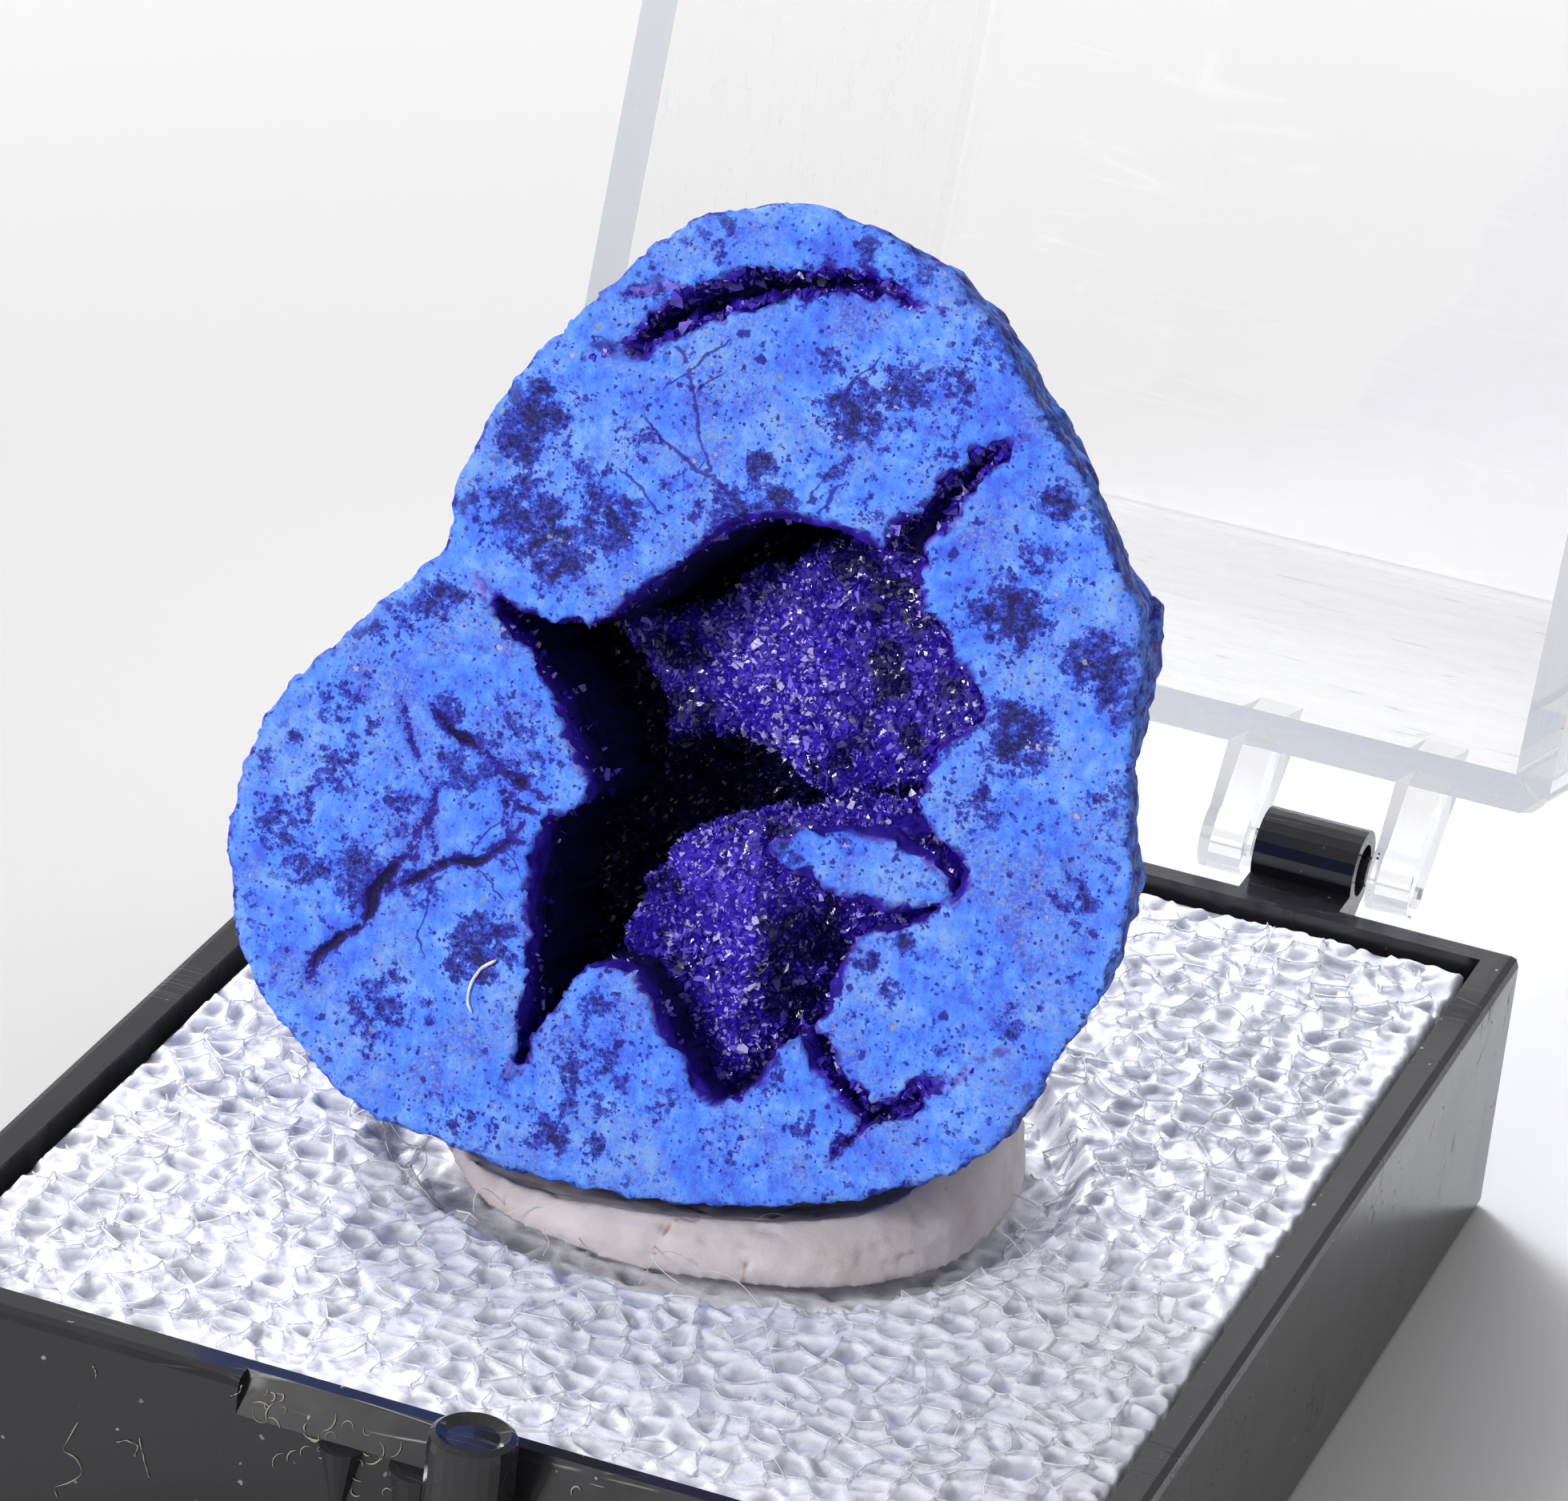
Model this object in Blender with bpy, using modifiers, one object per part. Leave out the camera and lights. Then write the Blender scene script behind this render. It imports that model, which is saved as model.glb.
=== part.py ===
"""Half an azurite nodule, set in putty on foam in a small hinged display box.

The box stands on the XY plane, front towards -Y, with its underside centred
on the origin. Sizes below are millimetres; every mesh is scaled to metres
when it is made. The cut face of the nodule has a frame of its own: u runs to
the right, v up the face, and w out of it, so a depth is a negative w.
"""

import math

import bmesh
import bpy
import numpy as np
from mathutils import Matrix, Vector, noise
from mathutils.geometry import delaunay_2d_cdt

MM = 0.001
GAP = 0.3                      # clearance between touching pieces

# Box base
BASE_WIDTH = 30.0
BASE_DEPTH = 37.0
BASE_HEIGHT = 7.5
BASE_WALL = 0.9
BASE_FLOOR = 1.2
BASE_EDGE = 0.25
BACK = BASE_DEPTH / 2
FRONT = -BASE_DEPTH / 2

# Front post and the grip round it
POST_X = 0.9
POST_Y = -19.1
POST_RADIUS = 1.04
POST_RISE = 0.75               # above the rim
GRIP_HALF = 6.0                # half the width of the sloped rim
GRIP_DROP = 0.95
GRIP_CUT = 0.5
RIBS = ((-3.35, 0.55, 1.9), (-1.4, 0.75, 3.4), (1.4, 0.75, 3.4), (3.35, 0.55, 1.9))

# Hinge
HINGE_Y = BACK + 1.8
HINGE_Z = BASE_HEIGHT + 0.35
HINGE_X = 8.6                  # each hinge's middle, left and right
KNUCKLE_WIDTH = 2.8
KNUCKLE_RADIUS = 1.1
BORE_RADIUS = 0.72
PIN_RADIUS = 0.42
EAR_THICKNESS = 1.2
EAR_RADIUS = 0.95
OPEN_DEG = 105.0

# Lid, as it stands when closed
LID_WIDTH = 29.0
LID_FRONT = FRONT + 0.8
LID_BACK = BACK - 0.75
LID_FOOT = BASE_HEIGHT + GAP
LID_HEIGHT = 31.6
LID_WALL = 1.0
LID_EDGE = 0.7

# Foam
FOAM_TOP = BASE_HEIGHT - 0.4
FOAM_CELL = 1.3
FOAM_RELIEF = 0.35
FOAM_DENT = 1.0                # how far the putty is pressed in
FOAM_LUMP = 1.1                # size of the lumps on its top
FOAM_SHARP = 1.6               # how hard their heights are pushed to either end
DENT_MARGIN = 1.22             # dent's radius, as a share of the putty's
DENT_SLOPE = 0.6

# Putty
PUTTY_X = 0.2
PUTTY_Y = -0.7
PUTTY_RADIUS = 7.3
PUTTY_HEIGHT = 4.6
PUTTY_FRONT_SHARE = 0.32       # of that height, in front of the nodule
PUTTY_RISE_FROM = 0.75         # where it starts to rise, as a share of the radius forward
PUTTY_SEGMENTS = 44
PUTTY_RINGS = 7
PUTTY_UNEVEN = 0.05            # how far its rim wanders, as a share of the radius
PUTTY_ROUND = 0.55             # power that rounds its side, lower for a steeper one
PUTTY_CROWN = 0.8              # power that rounds its top
PUTTY_WANDER_SIZE = 1.4
PUTTY_FOOT = FOAM_TOP - FOAM_DENT + FOAM_RELIEF + GAP

# Nodule: where its cut face stands, and how it turns and leans
FACE_ORIGIN = (1.43, -6.8, BASE_HEIGHT + 0.61)
FACE_YAW_DEG = 6.0
FACE_LEAN_DEG = 20.0
NODULE_DEPTH = 10.0
NODULE_MIDDLE = (-1.8, 11.2)   # the u, v that its back closes on
NODULE_SWELL = 0.2             # how much wider it is behind the face
FACE_CHAMFER = 0.12
SKIN_RINGS = (0.1, 0.35, 0.8, 1.5)
SKIN_GRID = 1.1
RIM_DEPTH = 0.25               # how thick the nodule is at its rim
RIM_ROUND = 5.0                # how far in from the rim its edge is round
LUMPS = ((3.6, 0.75), (1.5, 0.5))   # size and height of its lumps
FACE_OUTLINE = (
    (-2.7, 23.9), (-0.4, 23.85), (1.9, 23.0), (3.1, 22.1), (4.5, 20.5),
    (5.8, 19.0), (6.8, 17.5), (7.8, 16.1), (8.2, 14.5), (8.35, 12.6),
    (8.7, 10.6), (8.9, 8.7), (8.6, 7.1), (8.1, 5.8), (7.6, 4.2),
    (6.8, 2.9), (5.2, 1.7), (3.4, 0.8), (0.6, 0.15), (-1.6, -0.1),
    (-4.4, -0.1), (-6.6, 0.2), (-9.2, 0.9), (-10.8, 2.1), (-12.0, 3.4),
    (-12.8, 5.2), (-13.05, 7.3), (-12.8, 8.9), (-12.1, 10.5), (-11.0, 12.0),
    (-9.9, 13.2), (-9.1, 14.1), (-9.0, 15.2), (-8.85, 16.7), (-8.6, 17.6),
    (-7.95, 18.7), (-7.4, 19.7), (-6.6, 20.8), (-5.8, 21.9), (-4.5, 23.1),
)

# The hollow: its mouth on the face, and how deep it is at chosen spots
HOLLOW_MOUTH = (
    (-8.7, 14.2), (-7.1, 13.1), (-5.1, 13.1), (-4.1, 14.1), (-3.1, 15.3),
    (-2.3, 16.1), (-1.2, 16.6), (0.2, 16.6), (1.5, 16.2), (2.3, 15.8),
    (2.8, 15.2), (3.8, 14.2), (4.6, 13.2), (4.8, 12.8), (3.8, 12.1),
    (3.6, 11.3), (3.3, 10.4), (4.2, 10.0), (4.9, 9.3), (5.0, 8.6),
    (4.2, 7.9), (3.1, 7.3), (2.5, 6.8), (2.1, 5.7), (2.1, 4.8),
    (1.4, 4.3), (0.9, 3.4), (0.3, 2.5), (-0.3, 2.6), (-1.0, 3.2),
    (-1.8, 4.5), (-2.6, 5.3), (-3.4, 5.3), (-3.9, 5.0), (-4.3, 3.8),
    (-5.2, 1.4), (-5.1, 2.5), (-5.0, 4.3), (-5.3, 5.4), (-5.5, 6.9),
    (-5.4, 8.5), (-4.3, 9.1), (-4.7, 9.8), (-5.5, 11.2), (-6.8, 12.5),
)
HOLLOW_SPOTS = (               # u, v, depth
    (-8.2, 13.9, 1.0), (-6.3, 12.8, 3.4), (-4.2, 12.0, 5.8), (-2.8, 14.4, 6.0),
    (-0.6, 15.6, 5.6), (1.4, 15.0, 4.6), (3.0, 13.8, 3.2), (4.2, 12.7, 1.9),
    (-1.6, 12.6, 5.6), (0.9, 12.6, 3.9), (2.7, 11.8, 3.2), (-3.7, 9.8, 7.2),
    (-1.4, 10.4, 6.8), (0.8, 10.6, 5.8), (2.4, 10.3, 4.0), (-4.6, 7.4, 6.6),
    (-3.4, 7.0, 5.6), (-2.1, 8.6, 3.4), (-2.0, 6.6, 3.6), (-4.5, 5.0, 4.4),
    (-4.9, 3.0, 2.0), (-0.4, 8.3, 0.9), (-0.5, 6.8, 1.3), (-0.5, 5.2, 1.8),
    (-0.1, 3.4, 2.2), (-1.5, 5.0, 3.0), (0.9, 7.2, 1.7), (1.3, 6.0, 2.1),
    (1.0, 4.7, 2.2), (2.6, 7.6, 0.9), (4.5, 8.3, 0.9), (4.5, 9.7, 0.9),
    (2.4, 9.9, 2.2), (0.2, 9.6, 2.4),
)
SPOT_REACH = 0.85              # how far one spot's depth is felt
EDGE_DEPTH = 0.55              # share of the depth reached by the wall itself
EDGE_REACH = 1.1

# The spur's top, sawn through with the face
ISLET = (
    (0.1, 8.8), (0.8, 9.35), (2.1, 9.65), (3.3, 9.5), (4.35, 9.0),
    (4.4, 8.55), (3.6, 8.15), (2.2, 8.2), (1.0, 8.45),
)
ISLET_SKIRT = 0.45             # how far out its sides run down
HOLLOW_GRID = 0.72
HOLLOW_ABOVE = 0.8             # how far its cutter stands out of the face

# Open cracks: points along each one, with the full width there, and the depth
CRACKS = (
    ("crack_top", 1.5, ((-6.3, 19.4, 0.0), (-5.2, 20.0, 0.45), (-4.5, 20.7, 0.9),
                        (-3.6, 21.3, 0.95), (-2.6, 21.8, 0.8), (-1.4, 22.1, 0.7),
                        (-0.2, 22.4, 0.5), (0.7, 22.2, 0.45), (1.4, 22.05, 0.3),
                        (2.1, 22.0, 0.0))),
    ("crack_branch", 0.8, ((-4.0, 21.3, 0.4), (-5.0, 21.35, 0.25), (-5.8, 21.0, 0.0))),
    ("crack_right", 1.6, ((1.7, 15.6, 1.4), (2.2, 16.8, 1.0), (2.7, 17.7, 0.8),
                          (3.2, 18.5, 0.6), (3.7, 19.1, 0.45), (4.3, 19.6, 0.0))),
    ("crack_low", 1.2, ((2.8, 1.8, 0.0), (3.3, 2.4, 0.3), (3.8, 3.1, 0.6),
                        (4.8, 3.8, 0.45), (5.6, 4.5, 0.3), (6.6, 5.3, 0.0))),
    ("crack_low_link", 1.4, ((1.8, 5.0, 0.8), (2.6, 3.9, 0.65), (3.2, 3.4, 0.5),
                             (3.7, 3.1, 0.4))),
)

CRACK_STEPS = 3                # points to each span of a crack's spine
CRACK_WANDER = 0.3             # how far its edges wander at its widest
CRACK_WANDER_SIZE = 0.45
CRACK_LEAST = 0.06             # least width
CRACK_KEEL = 0.45              # width of its bottom, as a share of its mouth
CRACK_ABOVE = 0.5              # how far its cutter stands out of the face

# Crystal crust in the hollow
CRUST_WALL = 0.5
CRUST_FLOOR = 0.45
CRYSTAL_RISE = 0.45
CRUST_LIP = 0.12               # how far its edge stays below the face
CRUST_GRID = 0.62
CRUST_LEAST = 0.2              # least thickness

SEED = 7


# ------------------------------------------------------------------ helpers

def clear_scene():
    """Remove every object that the file starts with."""
    for obj in list(bpy.data.objects):
        bpy.data.objects.remove(obj, do_unlink=True)


def make_collection(name):
    """Add a collection to the scene."""
    collection = bpy.data.collections.new(name)
    bpy.context.scene.collection.children.link(collection)
    return collection


def make_material(name, colour, roughness, metallic=0.0, transmission=0.0, alpha=1.0):
    """Make a Principled material from its main values."""
    material = bpy.data.materials.new(name)
    material.use_nodes = True
    shader = material.node_tree.nodes["Principled BSDF"]
    shader.inputs["Base Color"].default_value = (*colour, 1.0)
    shader.inputs["Roughness"].default_value = roughness
    shader.inputs["Metallic"].default_value = metallic
    shader.inputs["Transmission Weight"].default_value = transmission
    shader.inputs["Alpha"].default_value = alpha
    return material


def mesh_object(name, verts, faces, collection, material=None, matrix=None):
    """Make an object from millimetre points, faces turned outward."""
    mesh = bpy.data.meshes.new(name)
    points = np.asarray(verts, dtype=float) * MM
    mesh.from_pydata(points.tolist(), [], [tuple(int(i) for i in f) for f in faces])
    if matrix is not None:
        mesh.transform(matrix)
    bm = bmesh.new()
    bm.from_mesh(mesh)
    bmesh.ops.recalc_face_normals(bm, faces=bm.faces)
    bm.to_mesh(mesh)
    bm.free()
    obj = bpy.data.objects.new(name, mesh)
    if material:
        mesh.materials.append(material)
    collection.objects.link(obj)
    return obj


def as_cutter(obj):
    """Show an object as a wire and keep it out of renders."""
    obj.display_type = "WIRE"
    obj.hide_render = True
    return obj


def cube_object(name, low, high, collection, material=None):
    """Make a box between two millimetre corners."""
    bm = bmesh.new()
    bmesh.ops.create_cube(bm, size=1.0)
    size = [(h - l) * MM for l, h in zip(low, high)]
    middle = [(h + l) / 2 * MM for l, h in zip(low, high)]
    bmesh.ops.scale(bm, vec=size, verts=bm.verts)
    bmesh.ops.translate(bm, vec=middle, verts=bm.verts)
    mesh = bpy.data.meshes.new(name)
    bm.to_mesh(mesh)
    bm.free()
    obj = bpy.data.objects.new(name, mesh)
    if material:
        mesh.materials.append(material)
    collection.objects.link(obj)
    return obj


def cone_object(name, radius_low, radius_high, length, segments, matrix, collection):
    """Make a cone or cylinder about its own Z axis, then place its mesh."""
    bm = bmesh.new()
    bmesh.ops.create_cone(bm, cap_ends=True, segments=segments,
                          radius1=radius_low * MM, radius2=radius_high * MM,
                          depth=length * MM, matrix=matrix)
    mesh = bpy.data.meshes.new(name)
    bm.to_mesh(mesh)
    bm.free()
    obj = bpy.data.objects.new(name, mesh)
    collection.objects.link(obj)
    return obj


def plate_object(name, outline_yz, x_middle, width, collection):
    """Extrude a Y-Z outline along X, as a filled 2D curve made into a mesh."""
    curve = bpy.data.curves.new(name, "CURVE")
    curve.dimensions = "2D"
    curve.fill_mode = "BOTH"
    curve.extrude = width / 2 * MM
    spline = curve.splines.new("POLY")
    spline.points.add(len(outline_yz) - 1)
    for point, (y, z) in zip(spline.points, outline_yz):
        point.co = (y * MM, z * MM, 0.0, 1.0)
    spline.use_cyclic_u = True
    guide = bpy.data.objects.new(name + "_curve", curve)
    collection.objects.link(guide)
    # the curve's X, Y, Z become the part's Y, Z, X
    turn = Matrix(((0, 0, 1, x_middle * MM), (1, 0, 0, 0), (0, 1, 0, 0), (0, 0, 0, 1)))
    mesh = bpy.data.meshes.new_from_object(
        guide.evaluated_get(bpy.context.evaluated_depsgraph_get()))
    mesh.transform(turn)
    bpy.data.objects.remove(guide, do_unlink=True)
    bm = bmesh.new()
    bm.from_mesh(mesh)
    bmesh.ops.remove_doubles(bm, verts=bm.verts, dist=0.000001)
    bmesh.ops.recalc_face_normals(bm, faces=bm.faces)
    bm.to_mesh(mesh)
    bm.free()
    obj = bpy.data.objects.new(name, mesh)
    collection.objects.link(obj)
    return obj


def boolean(obj, other, operation):
    """Join or cut an object with another that is kept only as a guide."""
    modifier = obj.modifiers.new(operation.title() + " " + other.name, "BOOLEAN")
    modifier.operation = operation
    modifier.solver = "EXACT"
    modifier.object = as_cutter(other)
    return modifier


def bevel(obj, width, segments, angle_deg=40.0):
    """Round an object's sharp edges."""
    modifier = obj.modifiers.new("Edge", "BEVEL")
    modifier.width = width * MM
    modifier.segments = segments
    modifier.limit_method = "ANGLE"
    modifier.angle_limit = math.radians(angle_deg)
    return modifier


# ----------------------------------------------------- shapes on the face

def face_matrix():
    """Matrix from face coordinates (u, v, w) to the part, in metres."""
    yaw = math.radians(FACE_YAW_DEG)
    lean = math.radians(FACE_LEAN_DEG)
    out = Vector((math.sin(yaw) * math.cos(lean), -math.cos(yaw) * math.cos(lean),
                  math.sin(lean)))
    right = Vector((math.cos(yaw), math.sin(yaw), 0.0))
    up = out.cross(right)
    matrix = Matrix((right, up, out)).transposed().to_4x4()
    matrix.translation = Vector(FACE_ORIGIN) * MM
    return matrix


def smooth_loop(points, steps):
    """Catmull-Rom curve through a closed loop of points."""
    p = np.asarray(points, dtype=float)
    before, after, far = np.roll(p, 1, 0), np.roll(p, -1, 0), np.roll(p, -2, 0)
    t = (np.arange(steps) / steps)[None, :, None]
    p0, p1, p2, p3 = (a[:, None, :] for a in (before, p, after, far))
    curve = 0.5 * (2 * p1 + (p2 - p0) * t + (2 * p0 - 5 * p1 + 4 * p2 - p3) * t ** 2
                   + (3 * p1 - p0 - 3 * p2 + p3) * t ** 3)
    return curve.reshape(-1, p.shape[1])


def straight_loop(points, steps):
    """Points along the straight sides of a closed loop."""
    p = np.asarray(points, dtype=float)
    t = (np.arange(steps) / steps)[None, :, None]
    return (p[:, None] * (1 - t) + np.roll(p, -1, 0)[:, None] * t).reshape(-1, 2)


def loop_normals(loop):
    """Unit normals of a closed loop, pointing out of it."""
    along = np.roll(loop, -1, 0) - np.roll(loop, 1, 0)
    normal = np.stack([along[:, 1], -along[:, 0]], axis=1)
    normal /= np.linalg.norm(normal, axis=1)[:, None] + 1e-9
    x, y = loop[:, 0], loop[:, 1]
    area = np.sum(x * np.roll(y, -1) - np.roll(x, -1) * y)
    return normal if area > 0 else -normal


def distance_inside(points, loop):
    """Distance from each point to a loop, positive inside it."""
    p = np.asarray(points, dtype=float)[:, None, :]
    a, b = loop[None, :, :], np.roll(loop, -1, 0)[None, :, :]
    side = b - a
    share = np.clip(np.sum((p - a) * side, 2) / (np.sum(side ** 2, 2) + 1e-12), 0, 1)
    gap = np.linalg.norm(p - a - share[..., None] * side, axis=2).min(1)
    crosses = (a[..., 1] > p[..., 1]) != (b[..., 1] > p[..., 1])
    rise = np.where(side[..., 1] == 0, 1e-12, side[..., 1])
    at = a[..., 0] + (p[..., 1] - a[..., 1]) / rise * side[..., 0]
    inside = np.sum(crosses & (p[..., 0] < at), 1) % 2 == 1
    return np.where(inside, gap, -gap)


def inset_loop(loop, distance):
    """Loop moved inward, without the points that come too near another side."""
    moved = loop - loop_normals(loop) * distance
    keep = distance_inside(moved, loop) > distance * 0.93
    return moved[keep]


def wobble(points, scale, amount, seed):
    """Smooth noise for each point, between about -amount and +amount."""
    return np.array([noise.noise(Vector((*map(float, p), 0.0)[:3]) / scale
                                 + Vector((seed, seed * 2.0, 0.5))) for p in points]) * amount


def grid_inside(loop, spacing, margin, rng):
    """Slightly uneven triangle grid of points inside a loop."""
    low, high = loop.min(0), loop.max(0)
    rows = np.arange(low[1], high[1], spacing * 0.866)
    points = []
    for number, v in enumerate(rows):
        start = low[0] + (number % 2) * spacing / 2
        points += [(u, v) for u in np.arange(start, high[0], spacing)]
    points = np.array(points) + rng.uniform(-0.12, 0.12, (len(points), 2)) * spacing
    return points[distance_inside(points, loop) > margin]


def triangulate(loops, extra):
    """Triangles over all points, keeping each loop's sides as edges."""
    points, edges = [], []
    for loop in loops:
        start = len(points)
        points += [Vector(p) for p in loop.tolist()]
        edges += [(start + i, start + (i + 1) % len(loop)) for i in range(len(loop))]
    points += [Vector(p) for p in extra.tolist()]
    out = delaunay_2d_cdt(points, edges, [], 0, 1e-5)
    return np.array([tuple(p) for p in out[0]]), np.array([tuple(f) for f in out[2]])


def slab(points, triangles, front_w, back_w):
    """Closed solid between a front and a back height over one triangulation."""
    count = len(points)
    verts = np.vstack([np.column_stack([points, front_w]), np.column_stack([points, back_w])])
    faces = [tuple(t) for t in triangles] + [tuple(t[::-1] + count) for t in triangles]
    seen = {}
    for a, b, c in triangles:
        for i, j in ((a, b), (b, c), (c, a)):
            seen[(i, j)] = True
    for i, j in seen:
        if (j, i) not in seen:
            faces.append((j, i, i + count, j + count))
    return verts, faces


# ------------------------------------------------------------------- nodule

def face_loop():
    """Outline of the cut face, with small natural unevenness."""
    loop = smooth_loop(FACE_OUTLINE, 2)
    return loop + loop_normals(loop) * wobble(loop, 0.9, 0.14, 3.0)[:, None]


def nodule_solid(grow=0.0):
    """Half nodule in face coordinates: a flat face and a lumpy domed back."""
    edge = face_loop()
    rng = np.random.default_rng(SEED + 3)
    inner = [inset_loop(edge, step) for step in SKIN_RINGS]
    inner.append(grid_inside(edge, SKIN_GRID, SKIN_RINGS[-1] + 0.6, rng))
    points, triangles = triangulate([edge], np.vstack(inner))
    centres = points[triangles].mean(1)
    triangles = triangles[distance_inside(centres, edge) > 0.0]

    middle = np.array(NODULE_MIDDLE)
    arm = points - middle
    turn, reach = np.arctan2(arm[:, 1], arm[:, 0]), np.linalg.norm(arm, axis=1)
    rim = edge - middle
    order = np.argsort(np.arctan2(rim[:, 1], rim[:, 0]))
    radius = np.interp(turn, np.arctan2(rim[order, 1], rim[order, 0]),
                       np.linalg.norm(rim[order], axis=1), period=2 * math.pi)
    share = np.clip(reach / radius, 0.0, 1.0)
    inside = np.maximum(distance_inside(points, edge), 0.0)
    dome = (1.0 - share ** 2.4) ** 0.5
    dome = np.minimum(dome, np.sqrt(np.minimum(inside / RIM_ROUND, 1.0)))
    depth = RIM_DEPTH + (NODULE_DEPTH - RIM_DEPTH) * dome
    lateral = arm / (reach[:, None] + 1e-6)
    swell = NODULE_SWELL * np.sin(math.pi * np.clip(dome / 0.75, 0.0, 1.0))
    around = points + lateral * swell[:, None]
    back = np.column_stack([around, -depth])
    outward = np.column_stack([lateral * share[:, None] ** 2, -dome])
    outward /= np.linalg.norm(outward, axis=1)[:, None] + 1e-9
    lump = np.array([sum(noise.noise(Vector(p) / size) * height for size, height in LUMPS)
                     for p in back.tolist()]) * np.clip(inside / 0.5, 0.0, 1.0)
    back += outward * (lump + grow)[:, None]

    front = edge - loop_normals(edge) * (FACE_CHAMFER - grow)
    front = np.column_stack([front, np.full(len(edge), grow)])
    verts = np.vstack([front, back])
    count = len(edge)
    faces = [tuple(range(count))]
    faces += [tuple(t[::-1] + count) for t in triangles]
    faces += [(i, (i + 1) % count, count + (i + 1) % count, count + i) for i in range(count)]
    return verts, faces


def hollow_loop():
    """Mouth of the hollow, a little uneven along its sides."""
    loop = straight_loop(HOLLOW_MOUTH, 2)
    loop = 0.6 * loop + 0.2 * np.roll(loop, 1, 0) + 0.2 * np.roll(loop, -1, 0)
    return loop + loop_normals(loop) * wobble(loop, 0.5, 0.1, 5.0)[:, None]


def islet_loop(grow=0.0):
    """Outline of the sawn spur's top, or a loop that far round it."""
    loop = smooth_loop(ISLET, 2)
    return loop + loop_normals(loop) * grow


def hollow_depth(points):
    """Depth of the hollow under each point: spots blended by nearness."""
    spots = np.array(HOLLOW_SPOTS)
    far = np.linalg.norm(points[:, None, :] - spots[None, :, :2], axis=2)
    weight = np.exp(-(far / SPOT_REACH) ** 2) + 1e-7 / (far + 0.1) ** 2
    depth = (weight * spots[None, :, 2]).sum(1) / weight.sum(1)
    inside = np.clip(distance_inside(points, hollow_loop()) / EDGE_REACH, 0.0, 1.0)
    return depth * (EDGE_DEPTH + (1.0 - EDGE_DEPTH) * np.sqrt(inside))


def islet_rise(points, depth):
    """Depth again, brought up to the face over the sawn spur."""
    away = np.clip(-distance_inside(points, islet_loop()) / ISLET_SKIRT, 0.0, None)
    return np.where(away < 1.0, depth * away ** 0.8 - 0.1 * (1.0 - away), depth)


def clear_depth(points):
    """Least depth of the hollow within a gap of each point, less a little."""
    turns = np.arange(8) / 8 * 2 * math.pi
    least = islet_rise(points, hollow_depth(points))
    for turn in turns:
        near = points + GAP * 1.3 * np.array([math.cos(turn), math.sin(turn)])
        least = np.minimum(least, islet_rise(near, hollow_depth(near)))
    return least - GAP * 0.7


def hollow_cutter(collection, matrix):
    """Solid of the open hollow, from in front of the face to its floor."""
    rng = np.random.default_rng(SEED)
    mouth = hollow_loop()
    inner = grid_inside(mouth, HOLLOW_GRID, 0.3, rng)
    keep = np.abs(distance_inside(inner, islet_loop(ISLET_SKIRT / 2))) > 0.4
    loops = [mouth, islet_loop(0.0), islet_loop(ISLET_SKIRT)]
    points, triangles = triangulate(loops, inner[keep])
    centres = points[triangles].mean(1)
    triangles = triangles[distance_inside(centres, mouth) > 0.0]
    depth = islet_rise(points, hollow_depth(points))
    verts, faces = slab(points, triangles, np.full(len(points), HOLLOW_ABOVE), -depth)
    return mesh_object("hollow_cutter", verts, faces, collection, matrix=matrix)


def spine_points(spine):
    """Evenly spaced points along the straight spans of an open spine."""
    line = np.array(spine, dtype=float)
    number = np.arange(len(line))
    at = np.linspace(0, len(line) - 1, (len(line) - 1) * CRACK_STEPS + 1)
    return np.column_stack([np.interp(at, number, line[:, k]) for k in range(3)])


def crack_cutter(name, depth, spine, collection, matrix):
    """Wedge that opens a crack: wide and ragged at the face, narrow at its bottom."""
    line = spine_points(spine)
    along = np.gradient(line[:, :2], axis=0)
    side = np.stack([-along[:, 1], along[:, 0]], axis=1)
    side /= np.linalg.norm(side, axis=1)[:, None]
    half = np.maximum(line[:, 2:3], CRACK_LEAST) / 2
    reach = np.minimum(half / half.max(), 1.0)
    left, right = (half + reach * wobble(line[:, :2], CRACK_WANDER_SIZE, CRACK_WANDER,
                                         seed)[:, None] for seed in (2.0, 9.0))
    left, right = np.maximum(left, half / 2), np.maximum(right, half / 2)
    deep = -depth * np.clip(line[:, 2] / 0.5, 0.25, 1.0)
    above = np.full(len(line), CRACK_ABOVE)
    count = len(line)
    verts = np.vstack([
        np.column_stack([line[:, :2] + side * left, above]),
        np.column_stack([line[:, :2] - side * right, above]),
        np.column_stack([line[:, :2] + side * half * CRACK_KEEL, deep]),
        np.column_stack([line[:, :2] - side * half * CRACK_KEEL, deep]),
    ])
    faces = []
    rows = (0, count, 3 * count, 2 * count)
    for i in range(count - 1):
        for near, far in zip(rows, rows[1:] + rows[:1]):
            faces.append((near + i, near + i + 1, far + i + 1, far + i))
    faces.append(tuple(row for row in rows))
    faces.append(tuple(row + count - 1 for row in rows))
    return mesh_object(name, verts, faces, collection, matrix=matrix)


def build_nodule(parts, cutters, material):
    """The half nodule, hollowed and cracked."""
    matrix = face_matrix()
    verts, faces = nodule_solid()
    nodule = mesh_object("azurite_nodule", verts, faces, parts, material, matrix)
    boolean(nodule, hollow_cutter(cutters, matrix), "DIFFERENCE")
    for name, depth, spine in CRACKS:
        boolean(nodule, crack_cutter(name, depth, spine, cutters, matrix), "DIFFERENCE")
    return nodule


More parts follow.
